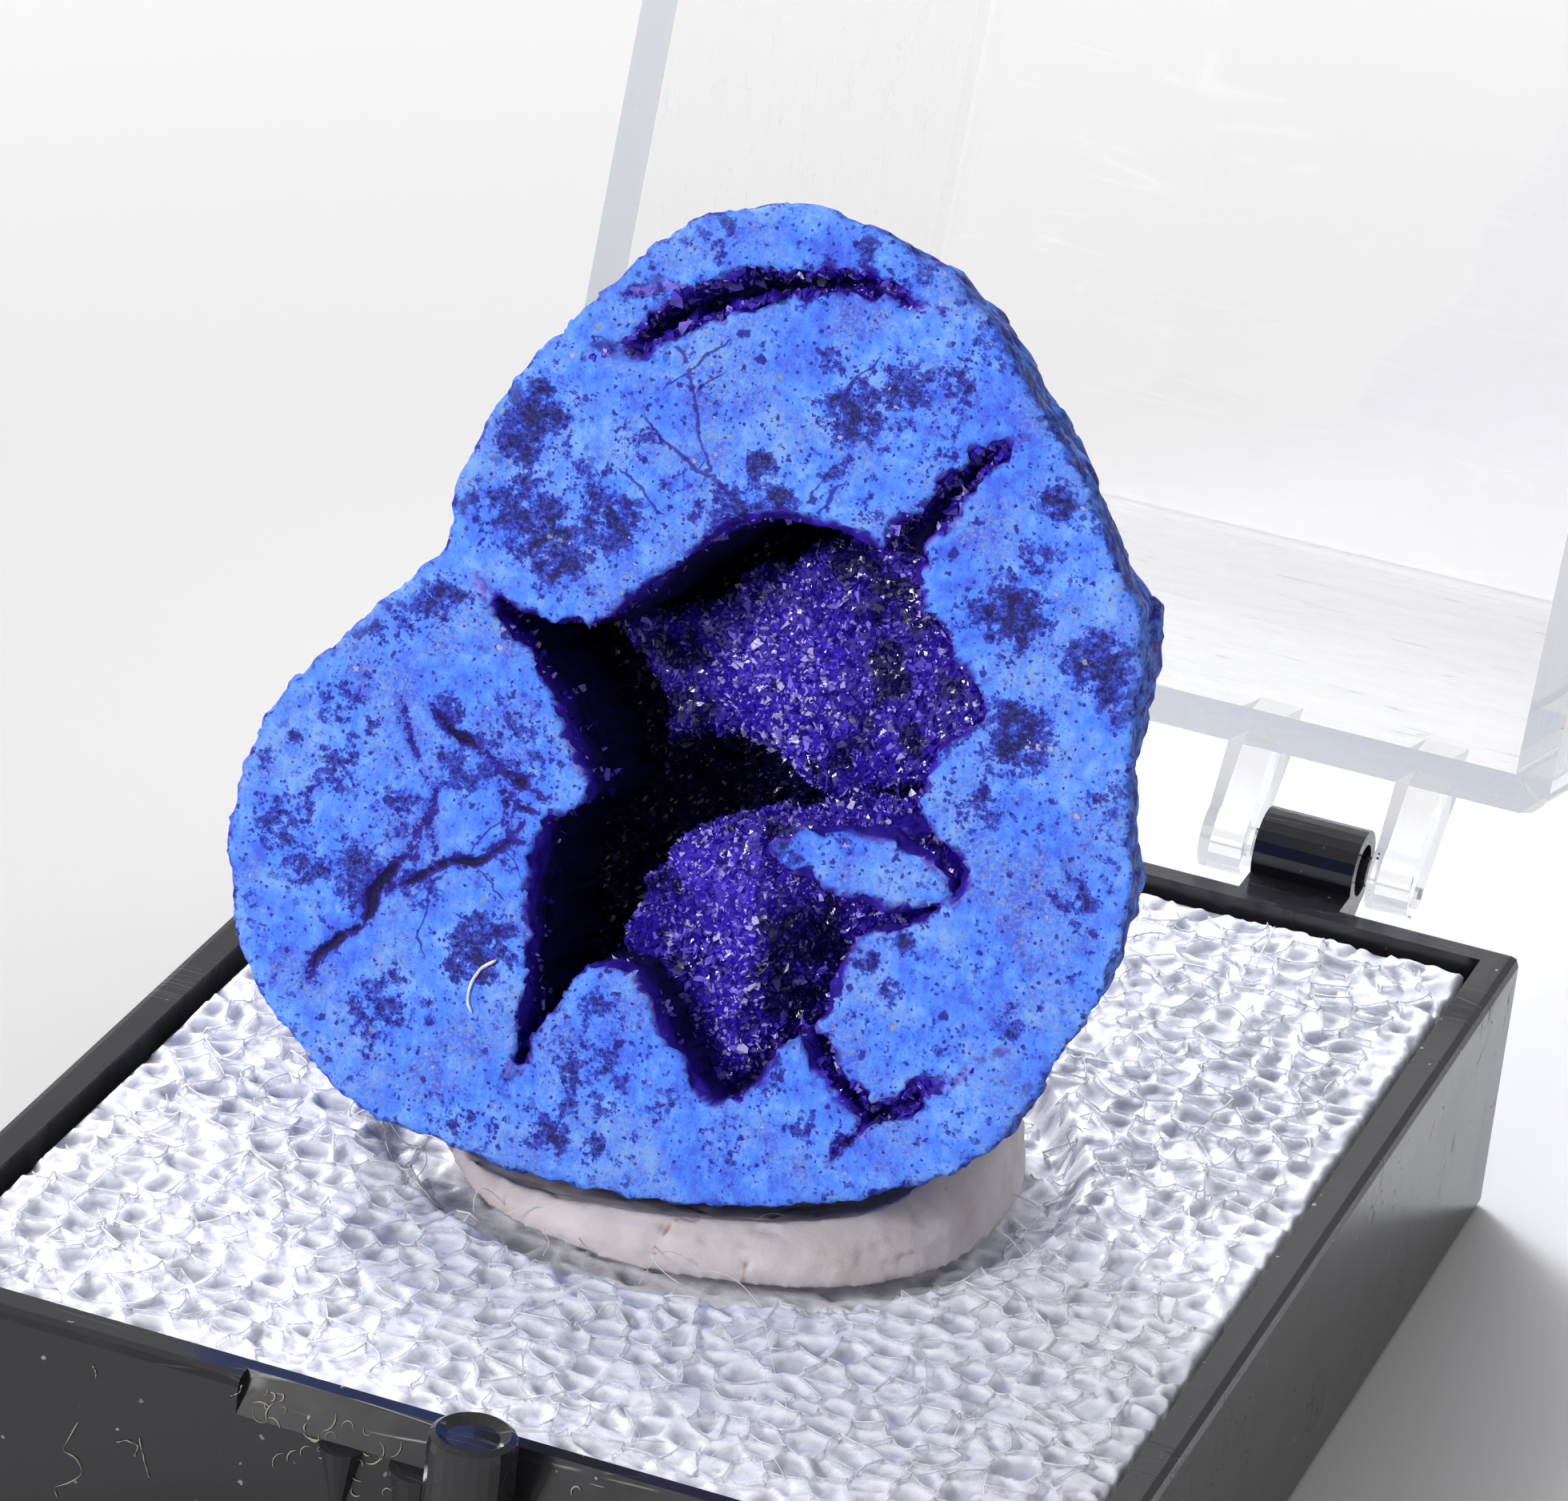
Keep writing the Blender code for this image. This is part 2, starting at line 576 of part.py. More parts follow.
def build_crust(parts, material):
    """Crystal lining of the hollow, one gap clear of the rock behind it."""
    rng = np.random.default_rng(SEED + 1)
    mouth = hollow_loop()
    outer = inset_loop(mouth, GAP)
    lip = inset_loop(mouth, GAP + CRUST_WALL * 0.6)
    foot = inset_loop(mouth, GAP + CRUST_WALL * 1.3)
    inner = grid_inside(mouth, CRUST_GRID, GAP + CRUST_WALL * 1.3 + 0.25, rng)
    fence = islet_loop(ISLET_SKIRT + 0.12)
    clear = [p for p in (lip, foot, inner)]
    clear = [p[distance_inside(p, fence) < -0.2] for p in clear]
    points, triangles = triangulate([outer, fence], np.vstack(clear))
    centres = points[triangles].mean(1)
    kept = (distance_inside(centres, mouth) > GAP * 0.98) & (distance_inside(centres, fence) < 0.0)
    triangles = triangles[kept]
    used, triangles = np.unique(triangles, return_inverse=True)
    triangles = triangles.reshape(-1, 3)
    points = points[used]
    behind = clear_depth(points)
    into = distance_inside(points, mouth) - GAP
    crystal = rng.uniform(0.0, CRYSTAL_RISE, len(points))
    floor = behind - CRUST_FLOOR - crystal
    wall_share = np.clip(into / (CRUST_WALL * 1.1), 0.0, 1.0)
    front = CRUST_LIP + (floor - CRUST_LIP) * wall_share ** 3
    front = np.clip(np.minimum(front, behind - 0.25), 0.04, None)
    behind = np.maximum(behind, front + CRUST_LEAST)
    verts, faces = slab(points, triangles, -front, -behind)
    return mesh_object("crystal_crust", verts, faces, parts, material, face_matrix())


# ------------------------------------------------------------ putty and foam

def putty_height(y):
    """Height of the putty's crown at a place y from its middle: low in front of the nodule."""
    rise = min(max(PUTTY_RISE_FROM + y / PUTTY_RADIUS, 0.0), 1.0)
    return PUTTY_HEIGHT * (PUTTY_FRONT_SHARE + (1.0 - PUTTY_FRONT_SHARE) * rise)


def build_putty(parts, cutters, material):
    """Flattened pat of putty, hollowed where the nodule is pressed into it."""
    segments, rings = PUTTY_SEGMENTS, PUTTY_RINGS
    angles = np.arange(segments) / segments * 2 * math.pi
    around = np.column_stack([np.cos(angles), np.sin(angles)])
    verts = []
    for ring in range(rings + 1):
        turn = ring / rings * math.pi / 2
        reach = PUTTY_RADIUS * math.cos(turn) ** PUTTY_ROUND if ring < rings else 0.0
        share = math.sin(turn) ** PUTTY_CROWN
        if ring == rings:
            verts.append((PUTTY_X, PUTTY_Y, PUTTY_FOOT + putty_height(0.0)))
            break
        dent = 1.0 + wobble(around * 3.0 + ring * 0.2, PUTTY_WANDER_SIZE, PUTTY_UNEVEN, 4.0)
        for (x, y), k in zip(around, dent):
            verts.append((PUTTY_X + reach * x * k, PUTTY_Y + reach * y * k,
                          PUTTY_FOOT + putty_height(reach * y) * share))
    faces = [tuple(range(segments))[::-1]]
    for ring in range(rings - 1):
        a, b = ring * segments, (ring + 1) * segments
        for i in range(segments):
            j = (i + 1) % segments
            faces.append((a + i, a + j, b + j, b + i))
    a, top = (rings - 1) * segments, rings * segments
    faces += [(a + i, a + (i + 1) % segments, top) for i in range(segments)]
    putty = mesh_object("mounting_putty", verts, faces, parts, material)
    verts, faces = nodule_solid(grow=GAP)
    seat = mesh_object("putty_seat", verts, faces, cutters, matrix=face_matrix())
    boolean(putty, seat, "DIFFERENCE")
    return putty


def foam_height(points):
    """Height of the foam's top: open cells, and a dent under the putty."""
    cells = np.array([noise.noise(Vector((p[0], p[1], 1.0)) / FOAM_LUMP) for p in points.tolist()])
    height = FOAM_TOP + FOAM_RELIEF * np.clip(cells * FOAM_SHARP, -1.0, 1.0)
    away = np.linalg.norm(points - np.array([PUTTY_X, PUTTY_Y]), axis=1)
    dent = np.clip((PUTTY_RADIUS * DENT_MARGIN - away) / DENT_SLOPE, 0.0, 1.0)
    return height - FOAM_DENT * dent


def build_foam(parts, material):
    """Foam block that fills the base, with an open-celled top."""
    half_x = BASE_WIDTH / 2 - BASE_WALL - GAP
    half_y = BASE_DEPTH / 2 - BASE_WALL - GAP
    across = round(2 * half_x / FOAM_CELL)
    along = round(2 * half_y / FOAM_CELL)
    rng = np.random.default_rng(SEED + 2)
    xs = np.linspace(-half_x, half_x, across + 1)
    ys = np.linspace(-half_y, half_y, along + 1)
    grid = np.array([(x, y) for y in ys for x in xs])
    inner = (np.abs(grid[:, 0]) < half_x - 0.1) & (np.abs(grid[:, 1]) < half_y - 0.1)
    grid[inner] += rng.uniform(-0.3, 0.3, (int(inner.sum()), 2)) * FOAM_CELL
    row = across + 1
    triangles = []
    for j in range(along):
        for i in range(across):
            a = j * row + i
            triangles += [(a, a + 1, a + row + 1), (a, a + row + 1, a + row)]
    top = foam_height(grid)
    verts, faces = slab(grid, np.array(triangles), top, np.full(len(grid), BASE_FLOOR + GAP))
    foam = mesh_object("foam_block", verts, faces, parts, material)
    bm = bmesh.new()
    bm.from_mesh(foam.data)
    bmesh.ops.dissolve_limit(bm, angle_limit=math.radians(0.5), verts=bm.verts,
                             edges=bm.edges)
    bm.to_mesh(foam.data)
    bm.free()
    return foam


# ---------------------------------------------------------------------- box

def arc(centre, radius, start_deg, end_deg, steps):
    """Points along an arc in the Y-Z plane."""
    turns = np.radians(np.linspace(start_deg, end_deg, steps))
    return [(centre[0] + radius * math.cos(t), centre[1] + radius * math.sin(t)) for t in turns]


def build_base(parts, cutters, material):
    """Tray with its front post, grip and hinge knuckles."""
    half = BASE_WIDTH / 2
    base = cube_object("box_base", (-half, FRONT, 0.0), (half, BACK, BASE_HEIGHT),
                       parts, material)
    bevel(base, BASE_EDGE, 2)
    pocket = cube_object("base_pocket",
                         (-half + BASE_WALL, FRONT + BASE_WALL, BASE_FLOOR),
                         (half - BASE_WALL, BACK - BASE_WALL, BASE_HEIGHT + 1.0), cutters)
    boolean(base, pocket, "DIFFERENCE")
    slope = [(FRONT - 0.5, BASE_HEIGHT - GRIP_DROP), (FRONT, BASE_HEIGHT - GRIP_DROP),
             (FRONT + GRIP_CUT, BASE_HEIGHT), (FRONT + GRIP_CUT, BASE_HEIGHT + 0.5),
             (FRONT - 0.5, BASE_HEIGHT + 0.5)]
    boolean(base, plate_object("grip_slope", slope, POST_X, 2 * GRIP_HALF, cutters),
            "DIFFERENCE")
    for number, (offset, radius, length) in enumerate(RIBS, 1):
        middle = BASE_HEIGHT - GRIP_DROP - length / 2
        place = Matrix.Translation(Vector((POST_X + offset, FRONT + 0.02, middle)) * MM)
        rib = cone_object(f"rib_{number}", 0.08, radius, length, 16, place, cutters)
        boolean(base, rib, "UNION")
    build_post(base, cutters)
    for side in (-1, 1):
        outline = arc((HINGE_Y, HINGE_Z), KNUCKLE_RADIUS, 198.0, -80.0, 18)
        outline = [(BACK - 0.4, BASE_HEIGHT)] + outline + [(BACK - 0.4, BASE_HEIGHT - 2.4)]
        knuckle = plate_object(f"knuckle_{'left' if side < 0 else 'right'}", outline,
                               side * HINGE_X, KNUCKLE_WIDTH, cutters)
        boolean(base, knuckle, "UNION")
    along_x = Matrix.Translation(Vector((0, HINGE_Y, HINGE_Z)) * MM) @ Matrix.Rotation(
        math.pi / 2, 4, "Y")
    bore = cone_object("hinge_bore", BORE_RADIUS, BORE_RADIUS, BASE_WIDTH, 16, along_x,
                       cutters)
    boolean(base, bore, "DIFFERENCE")
    return base


def build_post(base, cutters):
    """Round front post with a dished top, turned from its profile."""
    top = BASE_HEIGHT + POST_RISE
    profile = ((0.0, top - 0.12), (0.62, top - 0.16), (0.86, top), (1.0, top - 0.1),
               (POST_RADIUS, top - 0.3), (POST_RADIUS, 0.5), (0.0, 0.5))
    mesh = bpy.data.meshes.new("post")
    mesh.from_pydata([(x * MM, 0.0, z * MM) for x, z in profile],
                     [(i, i + 1) for i in range(len(profile) - 1)], [])
    post = bpy.data.objects.new("post", mesh)
    cutters.objects.link(post)
    post.location = Vector((POST_X, POST_Y, 0.0)) * MM
    screw = post.modifiers.new("Turn", "SCREW")
    screw.steps = 24
    screw.render_steps = 24
    screw.use_merge_vertices = True
    screw.merge_threshold = 0.000001
    bpy.context.view_layer.update()
    boolean(base, post, "UNION")


def build_lid(parts, cutters, material):
    """Clear lid with its hinge ears and pins; its origin is on the hinge."""
    half = LID_WIDTH / 2
    axis = Vector((0.0, HINGE_Y, HINGE_Z))
    low = Vector((-half, LID_FRONT, LID_FOOT)) - axis
    high = Vector((half, LID_BACK, LID_FOOT + LID_HEIGHT)) - axis
    lid = cube_object("box_lid", low, high, parts, material)
    bm = bmesh.new()
    bm.from_mesh(lid.data)
    floor = min(bm.faces, key=lambda f: f.calc_center_median().z)
    bmesh.ops.delete(bm, geom=[floor], context="FACES_ONLY")
    bm.to_mesh(lid.data)
    bm.free()
    bevel(lid, LID_EDGE, 3)
    shell = lid.modifiers.new("Wall", "SOLIDIFY")
    shell.thickness = LID_WALL * MM
    shell.offset = -1.0
    shell.use_even_offset = True
    wall = LID_BACK - HINGE_Y
    foot = LID_FOOT - HINGE_Z
    ear = arc((0.0, 0.0), EAR_RADIUS, -150.0, 75.0, 12)
    ear += [(wall - 0.4, foot + 3.3), (wall - 0.4, foot + 0.25)]
    for side in (-1, 1):
        name = "left" if side < 0 else "right"
        for shift in (-1, 1):
            middle = side * HINGE_X + shift * (KNUCKLE_WIDTH / 2 + 0.35 + EAR_THICKNESS / 2)
            plate = plate_object(f"ear_{name}_{'in' if shift * side < 0 else 'out'}", ear,
                                 middle, EAR_THICKNESS, cutters)
            plate.parent = lid
            boolean(lid, plate, "UNION")
        length = KNUCKLE_WIDTH + 0.7 + EAR_THICKNESS
        along_x = Matrix.Translation(Vector((side * HINGE_X, 0, 0)) * MM) @ Matrix.Rotation(
            math.pi / 2, 4, "Y")
        pin = cone_object(f"pin_{name}", PIN_RADIUS, PIN_RADIUS, length, 12, along_x, cutters)
        pin.parent = lid
        boolean(lid, pin, "UNION")
    lid.location = axis * MM
    lid.rotation_euler = (-math.radians(OPEN_DEG), 0.0, 0.0)
    return lid


def main():
    """Build every piece of the specimen and its box."""
    clear_scene()
    parts = make_collection("Azurite specimen")
    cutters = make_collection("Cutters")
    azure = make_material("azurite", (0.045, 0.2, 0.8), 0.75)
    violet = make_material("crystal", (0.04, 0.015, 0.3), 0.25)
    putty = make_material("putty", (0.75, 0.7, 0.7), 0.7)
    foam = make_material("foam", (0.88, 0.88, 0.9), 0.55)
    black = make_material("black_plastic", (0.02, 0.02, 0.022), 0.25)
    clear = make_material("clear_plastic", (0.97, 0.98, 1.0), 0.03, transmission=1.0)
    build_nodule(parts, cutters, azure)
    build_crust(parts, violet)
    build_putty(parts, cutters, putty)
    build_foam(parts, foam)
    build_base(parts, cutters, black)
    build_lid(parts, cutters, clear)
    bpy.context.view_layer.update()


main()
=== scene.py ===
"""A sawn azurite nodule, set in putty on foam, in a small black box with a clear hinged lid.

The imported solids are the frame: the stone, its crystals, the putty and the foam stand where
their solids stand, with a finer surface, and the box keeps its solids and gets its plastics.
Lengths are in millimetres until a mesh is made.
"""

import math

import bmesh
import bpy
import numpy as np
from bpy.props import FloatProperty, FloatVectorProperty, IntProperty, PointerProperty
from mathutils import Matrix, Vector
from mathutils.geometry import delaunay_2d_cdt


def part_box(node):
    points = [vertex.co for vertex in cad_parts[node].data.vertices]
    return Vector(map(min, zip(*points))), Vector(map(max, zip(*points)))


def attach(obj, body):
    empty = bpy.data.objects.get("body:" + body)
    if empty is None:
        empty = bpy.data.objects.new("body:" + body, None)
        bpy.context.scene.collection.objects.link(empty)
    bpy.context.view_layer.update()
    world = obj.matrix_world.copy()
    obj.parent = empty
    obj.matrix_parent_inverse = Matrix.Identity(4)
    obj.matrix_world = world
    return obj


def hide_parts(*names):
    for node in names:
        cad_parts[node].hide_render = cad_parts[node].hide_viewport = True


bl_info = {
    "name": "Azurite specimen in its box",
    "version": (1, 0, 0),
    "blender": (4, 5, 0),
    "location": "3D View > Sidebar > Azurite",
    "description": "Dresses the azurite specimen: stone, crystals, putty, foam, lint and plastics",
    "category": "Mesh",
}

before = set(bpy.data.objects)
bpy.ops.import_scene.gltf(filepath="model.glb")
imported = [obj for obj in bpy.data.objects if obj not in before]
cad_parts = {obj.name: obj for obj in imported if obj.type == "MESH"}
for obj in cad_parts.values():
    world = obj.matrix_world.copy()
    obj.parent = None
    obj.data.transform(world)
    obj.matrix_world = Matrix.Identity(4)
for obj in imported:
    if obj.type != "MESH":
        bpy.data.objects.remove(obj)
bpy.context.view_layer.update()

MM = 0.001

# The sawn face: where it stands, and how it turns and leans; u is right, v is up, w is out
FACE_ORIGIN = (1.43, -6.8, 8.11)
FACE_YAW = math.radians(6.0)
FACE_LEAN = math.radians(20.0)
FACE_OUT = np.array((math.sin(FACE_YAW) * math.cos(FACE_LEAN),
                     -math.cos(FACE_YAW) * math.cos(FACE_LEAN), math.sin(FACE_LEAN)))
FACE_RIGHT = np.array((math.cos(FACE_YAW), math.sin(FACE_YAW), 0.0))
FACE_UP = np.cross(FACE_OUT, FACE_RIGHT)
FACE_AXES = np.stack((FACE_RIGHT, FACE_UP, FACE_OUT))

# Veins that gape on the face, as u, v and full width
VEINS = (
    ((-10.27, 3.39, 0.16), (-10.25, 3.95, 0.24), (-9.77, 4.6, 0.28), (-9.26, 5.14, 0.4),
     (-9.23, 5.73, 0.47), (-8.97, 6.28, 0.28), (-8.63, 6.84, 0.28), (-8.3, 6.98, 0.16)),
    ((-8.75, 5.97, 0.1), (-8.19, 6.42, 0.24), (-7.67, 6.84, 0.28), (-7.11, 7.07, 0.43),
     (-6.6, 7.14, 0.28), (-6.19, 7.73, 0.24), (-5.83, 7.74, 0.12), (-5.34, 7.88, 0.08)),
    ((-9.3, 10.57, 0.1), (-9.07, 9.87, 0.14), (-8.78, 9.35, 0.14), (-8.44, 8.83, 0.14),
     (-8.08, 8.32, 0.16), (-8.2, 7.86, 0.2), (-8.02, 7.45, 0.16), (-7.92, 7.14, 0.12)),
    ((-8.25, 7.79, 0.12), (-8.39, 7.47, 0.1), (-8.41, 7.08, 0.1)),
    ((-8.54, 10.47, 0.1), (-8.06, 10.04, 0.36), (-7.63, 9.87, 0.32), (-7.08, 9.6, 0.2),
     (-6.65, 9.43, 0.2), (-6.21, 9.24, 0.24), (-5.77, 9.02, 0.2), (-5.26, 8.93, 0.08)),
    ((-6.79, 9.46, 0.12), (-6.55, 8.92, 0.16), (-6.31, 8.39, 0.14), (-6.15, 8.03, 0.12),
     (-6.19, 7.73, 0.12)),
    ((-6.32, 8.87, 0.1), (-5.95, 8.6, 0.12), (-5.39, 8.59, 0.1)),
    ((-5.87, 8.28, 0.08), (-6.07, 7.95, 0.14), (-6.25, 7.62, 0.16)),
    ((3.66, 3.07, 0.08), (3.3, 2.41, 0.24), (3.0, 1.92, 0.08)),
)
HAIRLINES = (
    ((-6.96, 7.37, 0.05), (-6.73, 7.81, 0.05), (-6.59, 8.04, 0.05), (-6.32, 8.21, 0.04)),
    ((-6.63, 6.86, 0.06), (-6.38, 6.61, 0.06), (-5.98, 6.37, 0.05)),
    ((-6.14, 7.45, 0.06), (-5.89, 7.2, 0.06), (-5.58, 6.92, 0.04)),
    ((-7.56, 6.57, 0.08), (-7.84, 6.17, 0.1), (-7.84, 5.63, 0.08), (-7.91, 5.12, 0.06),
     (-7.67, 4.68, 0.04)),
    ((-4.23, 20.12, 0.1), (-3.86, 19.62, 0.12), (-3.6, 18.9, 0.1), (-3.33, 18.08, 0.1),
     (-2.89, 17.4, 0.1), (-2.35, 16.83, 0.1)),
    ((-4.64, 18.31, 0.06), (-4.15, 17.83, 0.08), (-3.58, 17.4, 0.1), (-2.96, 17.25, 0.08),
     (-2.51, 16.95, 0.08)),
    ((-4.35, 19.08, 0.08), (-3.85, 19.58, 0.1), (-3.38, 20.0, 0.1), (-2.98, 20.51, 0.06)),
    ((-3.61, 19.13, 0.06), (-3.36, 19.37, 0.06), (-3.1, 19.57, 0.04)),
    ((-4.96, 16.9, 0.08), (-4.52, 16.64, 0.1), (-3.94, 16.17, 0.08)),
    ((0.5, 20.74, 0.06), (0.21, 20.2, 0.08), (0.02, 19.88, 0.12), (-0.1, 19.47, 0.08)),
    ((-0.49, 17.19, 0.04), (-0.18, 17.64, 0.05), (0.03, 18.06, 0.04)),
    ((-0.25, 16.76, 0.08), (0.0, 17.19, 0.08), (0.32, 17.58, 0.06)),
)
# Where dark specks crowd on the face, as u, v, radius and strength
STAINS = (
    (-7.4, 17.9, 0.9, 1.0), (-7.5, 17.0, 0.7, 0.9), (-7.2, 15.5, 1.0, 0.9), (-6.3, 14.7, 0.9, 0.9),
    (-8.5, 15.6, 0.6, 0.6), (-5.7, 16.6, 0.6, 0.6), (-4.7, 17.5, 0.6, 0.5), (-3.6, 16.8, 0.5, 0.7),
    (-5.1, 15.6, 0.8, 0.9), (-2.4, 16.4, 0.7, 0.9), (-1.3, 16.9, 0.6, 0.9), (0.2, 19.4, 0.8, 1.0),
    (-1.8, 17.7, 0.4, 1.0), (-0.5, 20.4, 0.4, 0.9), (-1.5, 18.8, 0.2, 1.0), (1.3, 20.1, 0.9, 0.7),
    (2.5, 20.4, 0.7, 0.6), (3.5, 21.8, 0.9, 0.6), (5.4, 18.2, 0.5, 1.0), (4.8, 15.4, 0.9, 1.0),
    (3.9, 15.3, 0.6, 0.7), (5.2, 16.8, 0.5, 0.6), (7.1, 14.6, 0.9, 1.0), (5.5, 12.6, 0.9, 1.0),
    (7.7, 13.8, 0.6, 0.9), (4.0, 12.3, 0.6, 0.7), (1.1, 17.1, 0.4, 0.5), (8.1, 11.6, 0.6, 0.6),
    (5.0, 10.8, 0.6, 0.6), (3.7, 7.3, 0.3, 1.0), (3.0, 6.6, 0.3, 1.0), (3.6, 6.1, 0.3, 0.9),
    (6.6, 5.9, 0.4, 0.9), (7.5, 9.0, 0.7, 0.6), (0.5, 8.7, 0.5, 0.9), (2.0, 9.2, 0.4, 0.5),
    (-6.5, 10.1, 1.1, 0.6), (-10.7, 10.1, 0.9, 0.4), (-11.8, 9.2, 0.2, 1.0), (-11.7, 7.0, 0.8, 0.7),
    (-10.9, 6.1, 0.6, 0.8), (-9.5, 6.2, 0.8, 0.9), (-6.3, 5.2, 0.8, 1.0), (-6.7, 4.4, 0.4, 0.8),
    (-8.6, 3.2, 0.9, 0.7), (-3.1, 2.9, 1.2, 0.6), (-3.2, 4.2, 0.6, 0.7), (-8.9, 13.2, 0.7, 1.0),
    (-9.7, 12.5, 0.6, 0.6), (-10.5, 11.7, 0.7, 0.4), (-7.5, 9.2, 0.8, 0.8), (-8.9, 8.0, 0.6, 0.7),
    (-8.1, 10.4, 0.5, 1.0), (-3.8, 1.0, 0.5, 1.0), (-2.7, 1.0, 0.3, 1.0), (1.0, 3.6, 0.5, 1.0),
    (2.1, 2.6, 0.4, 0.6), (-1.2, 2.2, 0.6, 0.5), (-6.4, 1.1, 0.6, 0.5), (-10.6, 8.6, 0.6, 0.6),
    (-12.4, 8.2, 0.5, 0.5), (-12.4, 5.1, 0.5, 0.6), (-8.1, 6.2, 0.5, 0.7), (-5.9, 7.3, 0.4, 0.6),
    (2.5, 18.9, 0.5, 0.5), (0.0, 17.9, 0.4, 0.5), (-3.7, 22.7, 0.7, 0.5), (-0.3, 23.2, 0.5, 0.6),
    (1.2, 22.7, 0.4, 0.6), (-5.0, 21.5, 0.5, 0.5), (5.7, 7.5, 0.6, 0.4), (5.1, 5.2, 0.5, 0.5),
    (0.3, 1.5, 0.7, 0.4),
)
# Where greenish and pale grains crowd, as u, v and radius
CLAY = (
    (-6.4, 15.2, 0.7), (-4.5, 14.4, 0.4), (-3.2, 15.1, 0.3), (6.1, 12.4, 0.3), (7.5, 15.3, 0.4),
    (6.7, 8.2, 0.3), (8.0, 11.6, 0.4), (7.2, 11.2, 0.3), (3.1, 18.5, 0.2), (-8.8, 2.5, 0.2),
    (-3.0, 17.9, 0.8), (2.0, 22.5, 0.6), (-3.5, 19.9, 0.8), (-6.9, 12.5, 0.6), (-8.5, 12.1, 0.5),
    (-9.8, 10.7, 0.7), (6.4, 13.6, 0.4), (4.7, 7.6, 0.4), (3.7, 8.8, 0.2),
)
FACE_LINT = ((-5.89, 4.86), (-6.24, 4.55), (-6.4, 4.12), (-6.39, 3.73), (-6.24, 3.49))

# The hollow's upper floor, as u, v and depth
FLOOR_SPOTS = (
    (-2.0, 15.4, 3.0), (-0.7, 15.9, 2.4), (0.8, 15.3, 1.9), (2.5, 14.4, 1.5), (3.8, 13.2, 1.1),
    (2.9, 12.3, 1.5), (2.0, 11.0, 2.2), (-0.6, 13.5, 3.0), (-1.5, 12.2, 3.5), (-2.7, 13.5, 3.4),
    (-3.4, 11.9, 4.2), (0.5, 12.2, 2.5), (1.3, 13.6, 2.3), (-0.4, 11.0, 3.8), (-2.1, 10.7, 4.6),
    (1.0, 10.2, 3.2), (-5.5, 12.9, 4.0), (3.6, 12.0, 1.0), (3.2, 10.6, 1.5),
)
# Its outline, broken off towards the deep parts of the hollow
UPPER_FLOOR = (
    (1.0, 17.0), (-0.15, 16.1), (-1.2, 15.2), (-2.1, 15.0), (-2.9, 14.1), (-3.9, 13.7),
    (-4.5, 13.6), (-5.5, 13.4), (-5.3, 12.7), (-4.8, 12.3), (-4.2, 11.5), (-3.8, 10.8),
    (-3.9, 10.2), (-3.2, 10.4), (-1.9, 10.9), (-0.7, 10.5), (0.3, 10.1), (0.95, 9.9),
    (1.9, 10.3), (2.6, 10.6), (6.0, 11.2), (6.2, 14.5), (3.0, 17.5),
)
# The sawn spur: its outline, and its ridge as u, v and depth
SPUR = (
    (-3.2, 4.6), (-3.6, 5.7), (-3.4, 6.7), (-3.1, 7.6), (-2.65, 8.1), (-2.3, 8.55),
    (-1.5, 9.05), (-0.8, 9.05), (-0.45, 9.45), (0.3, 9.6), (1.2, 9.95), (2.0, 10.3),
    (2.9, 10.35), (3.1, 10.6), (6.3, 11.0), (7.2, 6.6), (4.3, 1.2), (-1.4, -0.1), (-2.4, 3.2),
)
SPUR_RIDGE = (
    (0.0, 9.0, 0.35), (0.0, 8.5, 0.3), (0.05, 7.6, 0.5), (0.05, 6.2, 0.9), (-0.05, 4.7, 1.4),
    (-0.1, 3.4, 2.0), (-0.3, 2.4, 2.4),
)
ISLET_LINE = ((0.8, 8.95), (4.0, 8.85))
ISLET_HALF = 0.6
# Smooth bottom of the trench round the sawn spur's top, where no crystals stand and the walls get
# no painted shade, as u, v and radius
TRENCH = ((4.5, 9.6, 0.5), (4.9, 9.0, 0.5), (4.7, 8.2, 0.5), (3.9, 7.8, 0.4), (3.3, 9.9, 0.4))
# Painted light and painted shade on the lining's crystals: where they are paler, and where darker,
# as u, v and radius
PAINTED_LIGHT = ((-1.2, 12.4, 1.5), (-0.4, 11.3, 1.1), (-0.6, 13.2, 1.0), (-0.7, 7.7, 1.0),
         (-0.5, 6.4, 0.8), (-0.3, 5.0, 0.7), (-0.3, 3.8, 0.5), (-1.7, 7.9, 0.7))
PAINTED_SHADE = ((1.9, 13.2, 0.7), (0.4, 15.8, 0.8), (1.7, 15.1, 0.8), (1.0, 6.6, 0.9), (0.9, 5.2, 0.6),
        (1.6, 7.2, 0.5), (2.9, 12.0, 0.5), (0.6, 10.6, 0.6), (-3.6, 12.9, 0.8), (-3.2, 11.2, 0.7))
# Beyond this loop the openings are cracks
HOLLOW_BOUND = (
    (-9.2, 14.8), (-5.0, 13.6), (-3.2, 16.2), (-0.5, 17.3), (1.6, 16.6), (3.0, 15.6),
    (5.6, 12.9), (4.2, 10.6), (5.7, 9.0), (5.0, 7.2), (2.9, 6.0), (2.4, 4.3), (1.2, 2.4),
    (-0.2, 1.8), (-2.3, 3.9), (-3.6, 4.6), (-5.0, 0.6), (-6.1, 1.0), (-6.0, 8.6), (-5.8, 9.6),
    (-6.2, 11.2), (-7.3, 12.2),
)
DEEPEST = 6.8
# Painted shade: the hollow's crystals darken between these two depths, and the walls of every
# opening
SHADE_DEPTHS = (-4.1, -5.6)
WALL_SHADE_DEPTHS = (-0.4, -2.0)
LINING_THICK = 0.3
UNDER_LINING = 0.35           # how far the stone's own hollow floor lies below its lining
ON_FACE = 0.01                # a packed point this near the sawn face's plane is on it
FAR = 3.0                     # distances kept on the stone's points stop here
VEIN_CRYSTALS = 2600

SEED = 11


# ------------------------------------------------------------------ colour and looks

